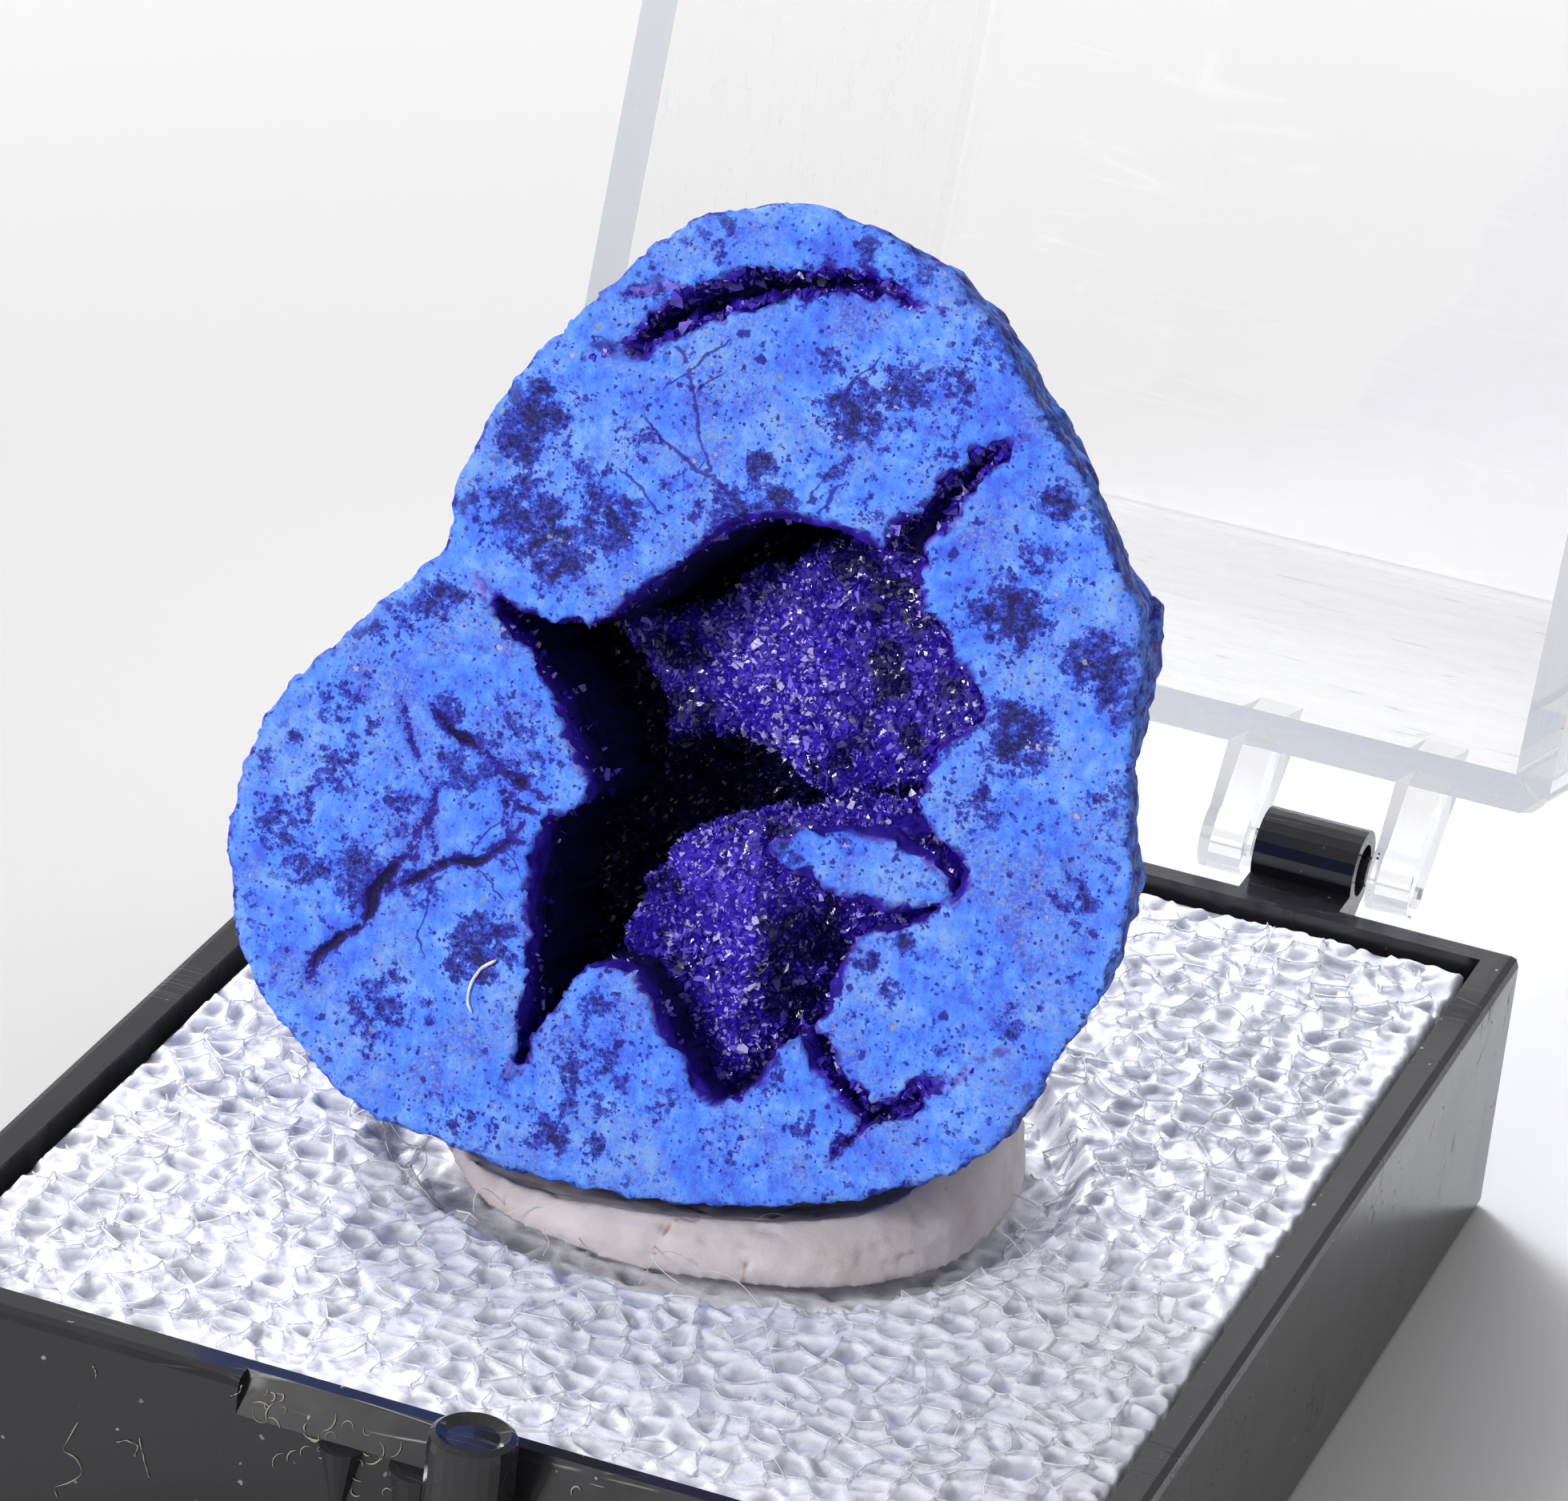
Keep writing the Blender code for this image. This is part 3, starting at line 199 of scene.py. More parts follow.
def tone(red, green, blue):
    """Screen colour from 0 to 255, as the linear colour that shaders take."""
    shares = (np.array((red, green, blue)) / 255.0)
    linear = np.where(shares <= 0.04045, shares / 12.92, ((shares + 0.055) / 1.055) ** 2.4)
    return tuple(float(c) for c in linear)


def length(name, description, default):
    """A length property; its default is given in millimetres."""
    return FloatProperty(name=name, description=description, default=default * MM,
                         unit="LENGTH", min=0.0, precision=6)


def colour(name, description, default):
    """A colour property, its default given as a screen colour."""
    return FloatVectorProperty(name=name, description=description, default=tone(*default),
                               subtype="COLOR", size=3, min=0.0, max=1.0)


class StoneLook(bpy.types.PropertyGroup):
    """Sizes and colours of the azurite and its crystals."""
    voxel: length("Surface step", "Distance between points of the stone's surface", 0.146)
    relief: length("Skin relief", "How rough the nodule's outer skin is", 0.26)
    vein_depth: length("Vein depth", "How far the narrow veins sink into the face", 0.16)
    azure: colour("Azure", "Main blue of the sawn face", (80, 137, 255))
    sky: colour("Sky blue", "Palest blue of the sawn face", (118, 168, 255))
    cobalt: colour("Cobalt", "Deeper blue between the two", (62, 84, 218))
    speck: colour("Speck", "Dark specks and stains", (36, 30, 140))
    indigo: colour("Indigo", "Veins and the sides of openings", (40, 20, 138))
    # Ink is also the painted shade far down in the hollow and on the walls of openings
    ink: colour("Ink", "Darkest violet, in veins and hollows", (12, 7, 44))
    clay: colour("Clay", "Greenish grey grains", (150, 156, 140))
    violet: colour("Violet", "Lit crystals of the hollow", (60, 33, 190))
    # Lavender is a painted highlight along the edges of openings, and the colour of the paler
    # crystals
    lavender: colour("Lavender", "Thin bright edges of the openings", (150, 128, 246))
    teal: colour("Teal", "Outer skin where it is lit", (52, 98, 186))
    frost: colour("Frost", "Pale crystals and chipped edges", (196, 188, 226))
    crystals: IntProperty(name="Crystals", description="Crystals that line the hollow",
                          default=16000, min=0, max=18000)
    crystal_size: length("Crystal size", "Length of a middling crystal", 0.12)
    lining_step: length("Lining step", "Distance between points of the hollow's lining", 0.1)


class PackingLook(bpy.types.PropertyGroup):
    """Sizes and colours of the putty, the foam and the lint."""
    putty: colour("Putty", "Pale putty under the stone", (206, 197, 199))
    # A browner putty tone, laid in the folds and in broad clouds
    putty_brown: colour("Worn putty", "Browner putty in creases", (158, 134, 124))
    putty_step: length("Putty step", "Distance between points of the putty's surface", 0.13)
    foam: colour("Foam", "Foam plastic", (240, 240, 247))
    # Painted shade down in the foam's cells, also laid as grey clouds at random
    foam_deep: colour("Foam cells", "Down in the foam's cells", (190, 191, 203))
    foam_step: length("Foam step", "Distance between points of the foam's top", 0.105)
    foam_cell: length("Foam cell", "Width of a large cell in the foam", 0.86)
    film_rise: length("Film rise", "How far the cut cell walls stand up", 0.11)
    shine: colour("Foam threads", "Glassy edges of the foam's films", (248, 248, 252))
    lint: colour("Lint", "Pale fibres", (236, 236, 240))
    fibre: colour("Fibre", "Straw-coloured fibres on the box", (168, 163, 148))


class PlasticLook(bpy.types.PropertyGroup):
    """Colours of the box's two plastics."""
    black: colour("Black plastic", "Base of the box", (36, 35, 38))
    dust: colour("Dust", "Dust on the black plastic", (176, 176, 188))
    clear_density: FloatProperty(name="Tint density", default=1.5, min=0.0,
                                 description="How soon the clear plastic shows its tint")


class StudioLook(bpy.types.PropertyGroup):
    """Floor, lamps and sky."""
    floor: colour("Floor", "Pale floor", (220, 218, 217))
    key_power: FloatProperty(name="Window lamp", description="Power of the lamp behind, left",
                             default=7.8, min=0.0, unit="POWER")
    face_power: FloatProperty(name="Face lamp", description="Power of the lamp in front, left",
                              default=4.3, min=0.0, unit="POWER")
    sky: FloatProperty(name="Sky", description="Strength of the even light around",
                       default=0.58, min=0.0)
    shine: FloatProperty(name="Shine", description="Strength of what glossy surfaces mirror",
                         default=0.62, min=0.0)


# ------------------------------------------------------------------ fields on points

PRIMES = np.array((73856093, 19349663, 83492791))


def lattice(cells, seed):
    """A fixed random number from 0 to 1 for each row of whole numbers.

    The numbers are multiplied by primes and added, and the sum's bits are stirred.
    """
    mixed = (cells.astype(np.int64) * PRIMES[:cells.shape[1]]).sum(axis=1) + seed * 7919
    mixed = (mixed ^ (mixed >> 13)) * 1274126177
    mixed = (mixed ^ (mixed >> 16)) & 0xFFFFFF
    return mixed / 0xFFFFFF


def smooth_noise(points, size, seed):
    """Noise from -1 to 1 in lumps of a size.

    The corner numbers of each lattice cell are blended by t * t * (3 - 2 t) along each axis.
    """
    grid = points / size
    low = np.floor(grid)
    part = grid - low
    blend = part * part * (3.0 - 2.0 * part)
    total = np.zeros(len(points))
    for corner in np.ndindex(*(2,) * points.shape[1]):
        weight = np.prod(np.where(corner, blend, 1.0 - blend), axis=1)
        total += weight * lattice(low + corner, seed)
    return 2.0 * total - 1.0


def rough_noise(points, size, seed, octaves=4, gain=0.5):
    """Smooth noises added, each half the size of the last and `gain` times its height."""
    total = np.zeros(len(points))
    for octave in range(octaves):
        total += gain ** octave * smooth_noise(points, size / 2 ** octave, seed + octave)
    return total


def sideways_noise(places, size, seed, octaves=4, gain=0.5):
    """Two rough noises side by side, to move places about on a plane."""
    return np.stack([rough_noise(places, size, seed + k, octaves, gain) for k in range(2)],
                    axis=1)


def cell_noise(points, size, seed):
    """Jittered cells: distance to the nearest centre, to the next, and the cell's number.

    Each lattice cell holds one centre, and only the cells next to a point's own are tried.
    """
    grid = points / size
    low = np.floor(grid)
    nearest = np.full(len(points), 9.0)
    second = np.full(len(points), 9.0)
    number = np.zeros(len(points))
    for step in np.ndindex(*(3,) * points.shape[1]):
        cell = low + step - 1.0
        jitter = [lattice(cell, seed + axis) for axis in range(points.shape[1])]
        centre = cell + 0.1 + 0.8 * np.stack(jitter, axis=1)
        away = np.linalg.norm(grid - centre, axis=1)
        closer = away < nearest
        second = np.where(closer, nearest, np.minimum(second, away))
        number = np.where(closer, lattice(cell, seed + 5), number)
        nearest = np.where(closer, away, nearest)
    return nearest * size, second * size, number


def ease(values, low, high):
    """0 at low, 1 at high, and a smooth s-shaped rise between, for either order of the two."""
    t = np.clip((values - low) / (high - low), 0.0, 1.0)
    return t * t * (3.0 - 2.0 * t)


def within(places, starts, ends):
    """Which places lie inside closed loops of edges: those with an odd count to the right."""
    u, v = places[:, 0, None], places[:, 1, None]
    spans = (starts[None, :, 1] > v) != (ends[None, :, 1] > v)
    rise = np.where(ends[:, 1] == starts[:, 1], 1.0, ends[:, 1] - starts[:, 1])
    share = (v - starts[None, :, 1]) / rise[None]
    crossing = starts[None, :, 0] + share * (ends - starts)[None, :, 0]
    return (spans & (crossing > u)).sum(axis=1) % 2 == 1


def inside_loop(places, loop):
    """Which places lie inside a closed loop of points."""
    starts = np.array(loop, dtype=float)
    return within(places, starts, np.roll(starts, -1, axis=0))


def loop_field(places, loop):
    """Distance to a closed loop of points, positive inside it."""
    starts = np.array(loop, dtype=float)
    away = line_field(places, starts, np.roll(starts, -1, axis=0))[0]
    return np.where(inside_loop(places, loop), away, -away)


def smooth_path(points, steps=5):
    """Catmull-Rom curve through the points, with `steps` spans between each two."""
    points = np.array(points, dtype=float)
    padded = np.vstack((2 * points[0] - points[1], points, 2 * points[-1] - points[-2]))
    a, b, c, d = padded[:-3], padded[1:-2], padded[2:-1], padded[3:]
    t = (np.arange(steps) / steps)[None, :, None]
    a, b, c, d = (p[:, None, :] for p in (a, b, c, d))
    curve = 0.5 * (2 * b + (c - a) * t + (2 * a - 5 * b + 4 * c - d) * t ** 2
                   + (3 * b - a - 3 * c + d) * t ** 3)
    return np.vstack((curve.reshape(-1, points.shape[1]), points[-1:]))


def line_field(points, starts, ends):
    """For each 2-D point: distance to the nearest segment, its side, index and share along.

    The side is the signed distance across the segment, so it passes smoothly through zero.
    """
    best = np.full(len(points), np.inf)
    side = np.zeros(len(points))
    index = np.zeros(len(points), dtype=int)
    share = np.zeros(len(points))
    for number, (start, end) in enumerate(zip(starts, ends)):
        along = end - start
        span = max(float(along @ along), 1e-12)
        t = np.clip(((points - start) @ along) / span, 0.0, 1.0)
        gap = points - start - t[:, None] * along
        away = np.hypot(gap[:, 0], gap[:, 1])
        closer = away < best
        cross = along[0] * gap[:, 1] - along[1] * gap[:, 0]
        side = np.where(closer, np.where(cross < 0.0, -away, away), side)
        index = np.where(closer, number, index)
        share = np.where(closer, t, share)
        best = np.minimum(best, away)
    return best, side, index, share


def path_field(points, paths):
    """Distance, side and half width at the nearest of several paths of u, v and width."""
    curves = [smooth_path(path, 3) for path in paths]
    starts = np.vstack([curve[:-1] for curve in curves])
    ends = np.vstack([curve[1:] for curve in curves])
    away, side, index, share = line_field(points, starts[:, :2], ends[:, :2])
    half = 0.5 * (starts[index, 2] * (1.0 - share) + ends[index, 2] * share)
    return away, side, half


def islands(count, edges):
    """A label for each vertex's connected island: labels fall to a neighbour's until none can."""
    label = np.arange(count)
    while True:
        lowest = label.copy()
        np.minimum.at(lowest, edges[:, 0], label[edges[:, 1]])
        np.minimum.at(lowest, edges[:, 1], label[edges[:, 0]])
        lowest = lowest[lowest]
        if np.array_equal(lowest, label):
            return label
        label = lowest


def to_face(points):
    """Points in the sawn face's own coordinates, u right, v up and w out of it."""
    return (points - np.array(FACE_ORIGIN)) @ FACE_AXES.T


def from_face(points):
    """The inverse of to_face."""
    return points @ FACE_AXES + np.array(FACE_ORIGIN)


# ------------------------------------------------------------------ meshes

def gathered(rows, field, width, kind=float):
    """One field of a mesh's points, edges or triangles, as rows of numbers."""
    values = np.empty(len(rows) * width, dtype=kind)
    rows.foreach_get(field, values)
    return values.reshape(-1, width)


def mesh_points(mesh):
    """A mesh's points in millimetres."""
    return gathered(mesh.vertices, "co", 3) / MM


def set_points(mesh, points):
    """Writes points in millimetres back into a mesh."""
    mesh.vertices.foreach_set("co", (points * MM).ravel())
    mesh.update()


def mesh_normals(mesh):
    """A mesh's point normals."""
    return gathered(mesh.vertex_normals, "vector", 3)


def triangle_edges(triangles):
    """The three edges of each triangle, as pairs of point numbers."""
    return np.vstack((triangles[:, (0, 1)], triangles[:, (1, 2)], triangles[:, (2, 0)]))


def mesh_triangles(mesh):
    """A mesh's triangles as three point numbers each."""
    mesh.calc_loop_triangles()
    return gathered(mesh.loop_triangles, "vertices", 3, np.int64)


def box_mm(node):
    """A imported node's lowest and highest corners in millimetres."""
    return [np.array(corner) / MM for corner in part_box(node)]


def putty_foot():
    """Middle and half width of the putty, seen from above."""
    low, high = box_mm("mounting_putty")
    return 0.5 * (low + high)[:2], 0.5 * (high - low)[0]


def merged_solid(node):
    """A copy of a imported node's mesh with its loose triangles joined."""
    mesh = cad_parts[node].data.copy()
    bm = bmesh.new()
    bm.from_mesh(mesh)
    bmesh.ops.remove_doubles(bm, verts=bm.verts, dist=1e-6)
    bm.to_mesh(mesh)
    bm.free()
    mesh.materials.clear()
    return mesh


def remeshed_solid(node, step):
    """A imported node's shape as an even net of small quads, `step` metres apart."""
    source = bpy.data.objects.new("remesh_source", merged_solid(node))
    bpy.context.scene.collection.objects.link(source)
    modifier = source.modifiers.new("Even net", "REMESH")
    modifier.mode = "VOXEL"
    modifier.voxel_size = step
    graph = bpy.context.evaluated_depsgraph_get()
    mesh = bpy.data.meshes.new_from_object(source.evaluated_get(graph))
    bpy.data.objects.remove(source)
    if len(mesh.polygons) < 100:
        raise RuntimeError(f"{node} could not be remeshed")
    return mesh


def new_mesh(name, points, faces):
    """A mesh from points in millimetres and rows of point numbers."""
    mesh = bpy.data.meshes.new(name)
    mesh.from_pydata((points * MM).tolist(), [], [list(face) for face in faces])
    mesh.update()
    return mesh


def keep(mesh, **fields):
    """Keeps one number, or one vector, on each point of a mesh under each field's name."""
    for name, values in fields.items():
        kind, socket = ("FLOAT", "value") if values.ndim == 1 else ("FLOAT_VECTOR", "vector")
        data = mesh.attributes.new(name, kind, "POINT").data
        data.foreach_set(socket, np.ascontiguousarray(values, dtype=np.float32).ravel())


def place_piece(name, mesh, material, smooth=True, node=None, body="box"):
    """Puts a finished mesh in the scene as a piece that rides on a body."""
    mesh.name = name
    mesh.materials.clear()
    mesh.materials.append(material)
    mesh.polygons.foreach_set("use_smooth", np.full(len(mesh.polygons), smooth))
    piece = bpy.data.objects.new(name, mesh)
    bpy.context.scene.collection.objects.link(piece)
    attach(piece, body)
    if node is not None:
        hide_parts(node)
    return piece


def joined(meshes, name):
    """One mesh from several, each with the same attributes."""
    bm = bmesh.new()
    for mesh in meshes:
        bm.from_mesh(mesh)
    result = bpy.data.meshes.new(name)
    bm.to_mesh(result)
    bm.free()
    return result


def scatter(points, triangles, count, rng):
    """Random places on triangles, as likely on each as its area, with their normals."""
    a, b, c = (points[triangles[:, k]] for k in range(3))
    cross = np.cross(b - a, c - a)
    area = np.linalg.norm(cross, axis=1)
    chosen = rng.choice(len(triangles), count, p=area / area.sum())
    s, t = rng.random((2, count))
    fold = s + t > 1.0
    s, t = np.where(fold, 1.0 - s, s)[:, None], np.where(fold, 1.0 - t, t)[:, None]
    places = a[chosen] + s * (b - a)[chosen] + t * (c - a)[chosen]
    return places, cross[chosen] / area[chosen, None]


def unit(vectors):
    """Vectors at length 1."""
    return vectors / np.maximum(np.linalg.norm(vectors, axis=-1, keepdims=True), 1e-9)


def turned_frames(axes, rng):
    """Two directions square to each axis, at a random turn about it."""
    side = unit(np.cross(axes, unit(rng.normal(size=axes.shape))))
    return side, np.cross(axes, side)


# A crystal: a four-sided foot that narrows to a ridge
CRYSTAL_POINTS = np.array(((-1, -1, 0), (1, -1, 0), (1, 1, 0), (-1, 1, 0),
                           (-0.6, 0, 1), (0.6, 0, 1)))
CRYSTAL_QUADS = np.array(((3, 2, 1, 0), (0, 1, 5, 4), (2, 3, 4, 5)))
CRYSTAL_ENDS = np.array(((1, 2, 5), (3, 0, 4)))


def crystal_mesh(name, places, axes, lengths, slender, rng):
    """Many crystals: one form scaled, skewed and turned onto each place's axis.

    Across the axis a crystal's foot is a random share of its length, from the range
    `slender`. Its ridge is pushed to one side, and a third of it is sunk in the surface.
    """
    count = len(places)
    widths = (lengths * rng.uniform(*slender, count))[:, None]
    side, across = turned_frames(axes, rng)
    form = np.broadcast_to(CRYSTAL_POINTS, (count, len(CRYSTAL_POINTS), 3)).astype(float)
    skew = rng.uniform(-0.8, 0.8, (count, 1, 2)) * form[:, :, 2:]
    x = (form[:, :, 0] + skew[:, :, 0]) * widths
    y = (form[:, :, 1] * rng.uniform(0.4, 1.0, (count, 1)) + skew[:, :, 1]) * widths
    slope = 1.0 + 0.3 * form[:, :, 0] * rng.uniform(-1.0, 1.0, (count, 1))
    z = (form[:, :, 2] * slope - 0.33) * lengths[:, None]
    points = (places[:, None, :] + x[..., None] * side[:, None, :]
              + y[..., None] * across[:, None, :] + z[..., None] * axes[:, None, :])
    start = len(CRYSTAL_POINTS) * np.arange(count)[:, None, None]
    faces = ((CRYSTAL_QUADS[None] + start).reshape(-1, 4).tolist()
             + (CRYSTAL_ENDS[None] + start).reshape(-1, 3).tolist())
    mesh = new_mesh(name, points.reshape(-1, 3), faces)
    # Painted shade for crystals far down in the hollow
    deep = ease(to_face(places)[:, 2], *SHADE_DEPTHS)
    keep(mesh, tint=np.repeat(rng.random(count), len(CRYSTAL_POINTS)),
         deep=np.repeat(deep, len(CRYSTAL_POINTS)))
    return mesh


def tubes(paths, radii, sides=4):
    """Closed thin tubes: a ring of three or four points carried along each path."""
    count, steps, _ = paths.shape
    tangent = unit(np.gradient(paths, axis=1))
    side = unit(np.cross(tangent, np.array((0.31, 0.22, 0.93))))
    across = np.cross(tangent, side)
    turn = np.arange(sides) / sides * 2.0 * math.pi
    ring = (np.cos(turn)[:, None] * side[:, :, None, :]
            + np.sin(turn)[:, None] * across[:, :, None, :])
    points = paths[:, :, None, :] + radii[:, :, None, None] * ring
    i, j, k = np.meshgrid(np.arange(count), np.arange(steps - 1), np.arange(sides),
                          indexing="ij")
    start = (i * steps + j) * sides
    turned = (k + 1) % sides
    wall = np.stack((start + k, start + sides + k, start + sides + turned, start + turned),
                    axis=-1).reshape(-1, 4)
    if sides == 3:
        wall = np.vstack((wall[:, :3], wall[:, [0, 2, 3]]))
    first = np.arange(count)[:, None] * steps * sides
    ends = np.vstack((first + np.arange(sides)[None],
                      first + (steps - 1) * sides + np.arange(sides)[None, ::-1]))
    return points.reshape(-1, 3), np.vstack((wall, ends))


# ------------------------------------------------------------------ shader nodes

class Graph:
    """Adds nodes to a node tree: each input takes a value or another node's output."""

    def __init__(self, tree):
        self.tree = tree

    def add(self, kind, inputs=None, **settings):
        """A shader node of this kind with its settings and inputs."""
        node = self.tree.nodes.new("ShaderNode" + kind)
        for key, value in settings.items():
            setattr(node, key, value)
        for key, value in (inputs or {}).items():
            self.feed(node.inputs[key], value)
        return node

    def feed(self, socket, value):
        """Links an output to the socket, or sets the socket's own value."""
        if isinstance(value, bpy.types.NodeSocket):
            self.tree.links.new(value, socket)
        elif socket.type == "RGBA" and len(value) == 3:
            socket.default_value = (*value, 1.0)
        else:
            socket.default_value = value

    def math(self, operation, a, b=0.0, c=0.0):
        """A number worked out from up to three others."""
        return self.add("Math", {0: a, 1: b, 2: c}, operation=operation).outputs[0]

    def times(self, a, b):
        """Two numbers multiplied."""
        return self.math("MULTIPLY", a, b)

    def line(self, value, slope, offset):
        """A number times a slope, plus an offset."""
        return self.math("MULTIPLY_ADD", value, slope, offset)

    def step(self, value, low, high, start=0.0, end=1.0):
        """Eased step from start to end as a value goes from low to high."""
        inputs = {"Value": value, "From Min": low, "From Max": high,
                  "To Min": start, "To Max": end}
        return self.add("MapRange", inputs, interpolation_type="SMOOTHSTEP").outputs[0]

    def blend(self, factor, a, b):
        """Colour a where the factor is 0 and b where it is 1."""
        return self.add("Mix", {0: factor, 6: a, 7: b}, data_type="RGBA").outputs[2]

    def coat(self, under, over, mask, share):
        """One colour laid over another where a mask is 1, as strongly as share."""
        return self.blend(self.times(mask, share), under, over)

    def paint(self, under, over, value, low, high, share=1.0):
        """One colour laid over another, up to share, as a value goes from low to high."""
        return self.blend(self.step(value, low, high, 0.0, share), under, over)

    def place(self, scale=(1.0, 1.0, 1.0), turn=(0.0, 0.0, 0.0), source=None):
        """Object coordinates in millimetres, or another vector, scaled and turned."""
        if source is None:
            source = self.add("TexCoord").outputs["Object"]
            scale = tuple(s / MM for s in scale)
        node = self.add("Mapping", {"Vector": source, "Scale": scale, "Rotation": turn})
        return node.outputs[0]

    def noise(self, place, size, detail=3.0, rough=0.5):
        """Noise around 0.5 with features of a size in the place's own unit."""
        return self.add("TexNoise", {"Vector": place, "Scale": 1.0 / size, "Detail": detail,
                                     "Roughness": rough}).outputs[0]

    def warped(self, place, scale, amount):
        """The place pushed about by a coloured noise with `scale` lumps in a unit."""
        noise = self.add("TexNoise", {"Vector": place, "Scale": scale, "Detail": 3.0})
        centred = self.add("VectorMath", {0: noise.outputs["Color"], 1: (0.5, 0.5, 0.5)},
                           operation="SUBTRACT")
        pushed = self.add("VectorMath", {0: centred.outputs[0], "Scale": amount},
                          operation="SCALE")
        return self.add("VectorMath", {0: place, 1: pushed.outputs[0]},
                        operation="ADD").outputs[0]

    def value(self, name):
        """A number kept on the mesh's points."""
        return self.add("Attribute", attribute_name=name).outputs["Fac"]

    def vector(self, name):
        """A vector kept on the mesh's points."""
        return self.add("Attribute", attribute_name=name).outputs["Vector"]

    def bump(self, height, distance, strength, **normal):
        """A normal tipped by a height, whose full range is `distance` millimetres."""
        inputs = {"Height": height, "Distance": distance * MM, "Strength": strength}
        return self.add("Bump", {**inputs, **normal}).outputs[0]

    def group(self, name, outputs, fill, inputs):
        """A shared effect's outputs, with this material's own values fed to its inputs."""
        node = self.tree.nodes.new("ShaderNodeGroup")
        node.node_tree = shared_group(name, inputs, outputs, fill)
        for key, value in inputs.items():
            self.feed(node.inputs[key], value)
        return node.outputs

    def flecks(self, place, size, share, radius, warp):
        """Mask and shade of scattered flecks."""
        mask, shade = self.group("Flecks", ("Mask", "Shade"), fill_flecks,
                                 {"Place": place, "Size": size, "Share": share,
                                  "Radius": radius, "Warp": warp})
        return mask, shade

    def grain(self, place, size, sharp):
        """Height of a fine grain."""
        return self.group("Grain", ("Height",), fill_grain,
                          {"Place": place, "Size": size, "Sharp": sharp})[0]

    def scratches(self, place, length, width):
        """Mask of fine scratches."""
        return self.group("Scratches", ("Mask",), fill_scratches,
                          {"Place": place, "Length": length, "Width": width})[0]


def shared_group(name, inputs, outputs, fill):
    """The node group of a name: made when it is first asked for, and shared from then on.

    Its input Place is a vector and the others are numbers; fill gives its outputs' values.
    """
    if name in bpy.data.node_groups:
        return bpy.data.node_groups[name]
    tree = bpy.data.node_groups.new(name, "ShaderNodeTree")
    for label in inputs:
        kind = "NodeSocketVector" if label == "Place" else "NodeSocketFloat"
        tree.interface.new_socket(label, in_out="INPUT", socket_type=kind)
    for label in outputs:
        tree.interface.new_socket(label, in_out="OUTPUT", socket_type="NodeSocketFloat")
    results = fill(Graph(tree), tree.nodes.new("NodeGroupInput").outputs)
    for socket, result in zip(tree.nodes.new("NodeGroupOutput").inputs, results):
        tree.links.new(result, socket)
    return tree


def fill_flecks(graph, source):
    """Scattered flecks: a disc of uneven radius in some of a pattern's cells.

    A fleck's edge is where the warped distance to its cell's centre passes its radius.
    """
    place = graph.warped(source["Place"], graph.math("DIVIDE", 2.2, source["Size"]),
                         graph.times(source["Warp"], source["Size"]))
    cells = graph.add("TexVoronoi", {"Vector": place,
                                     "Scale": graph.math("DIVIDE", 1.0, source["Size"])})
    parts = graph.add("SeparateColor", {"Color": cells.outputs["Color"]}).outputs
    held = graph.math("LESS_THAN", parts[0], source["Share"])
    radius = graph.times(source["Radius"], graph.line(parts[1], 0.9, 0.4))
    inside = graph.step(cells.outputs["Distance"], radius, graph.times(radius, 0.65))
    return graph.times(held, inside), parts[2]


def fill_grain(graph, source):
    """Fine grain: a coarse and a fine noise added, around 0.5."""
    coarse = graph.add("TexNoise", {"Vector": source["Place"], "Detail": 4.0,
                                    "Roughness": source["Sharp"],
                                    "Scale": graph.math("DIVIDE", 1.0, source["Size"])})
    fine = graph.add("TexNoise", {"Vector": source["Place"], "Detail": 2.0,
                                  "Scale": graph.math("DIVIDE", 5.0, source["Size"])})
    return (graph.line(fine.outputs[0], 0.3, graph.times(coarse.outputs[0], 0.7)),)


def fill_scratches(graph, source):
    """Fine scratches: thin bands where a long, stretched noise passes its middle value."""
    total = 0.0
    for turn in (0.35, 1.9):
        place = graph.place((0.06, 1.0, 0.35), (0.2, 0.4, turn), source["Place"])
        noise = graph.add("TexNoise", {"Vector": place, "Detail": 1.0,
                                       "Scale": graph.math("DIVIDE", 8.0, source["Length"])})
        away = graph.math("ABSOLUTE", graph.math("SUBTRACT", noise.outputs[0], 0.5))
        total = graph.math("MAXIMUM", total, graph.step(away, source["Width"], 0.0))
    patch = graph.add("TexNoise", {"Vector": source["Place"], "Scale": 0.5})
    return (graph.times(total, graph.step(patch.outputs[0], 0.45, 0.65)),)


def new_material(name):
    """A material with only its output, and the graph that fills it."""
    material = bpy.data.materials.new(name)
    material.use_nodes = True
    material.node_tree.nodes.clear()
    return material, Graph(material.node_tree)


def finished(material, graph, inputs):
    """The material, once a Principled shader with these inputs is its surface."""
    shader = graph.add("BsdfPrincipled", inputs)
    graph.add("OutputMaterial", {"Surface": shader.outputs[0]})
    return material


# ------------------------------------------------------------------ materials

def azure_ground(graph, place, look):
    """Brushed azure with sky-blue fans, deeper blue between them and patches of clay."""
    swirl = graph.warped(place, 1.0 / 1.1, 0.45)
    light = graph.line(graph.noise(swirl, 0.6, 5.0, 0.66), 0.7,
                       graph.times(graph.noise(swirl, 2.6), 0.5))
    brushed = graph.noise(graph.place((1.0, 0.3, 1.0), (0.0, 0.0, 0.35), swirl), 0.14)
    light = graph.line(brushed, 0.22, light)
    light = graph.line(graph.noise(place, 0.07, 3.0, 0.7), 0.26, light)
    tint = graph.paint(look.azure, look.sky, light, 0.82, 1.0)
    tint = graph.paint(tint, look.cobalt, light, 0.85, 0.68, 0.75)
    patch = graph.step(graph.noise(place, 2.0), 0.45, 0.58)
    patch = graph.math("MAXIMUM", patch, graph.value("clay"))
    mottle = graph.step(graph.noise(place, 0.1, 3.0, 0.75), 0.48, 0.62)
    return graph.coat(tint, look.clay, graph.times(mottle, patch), 0.65)


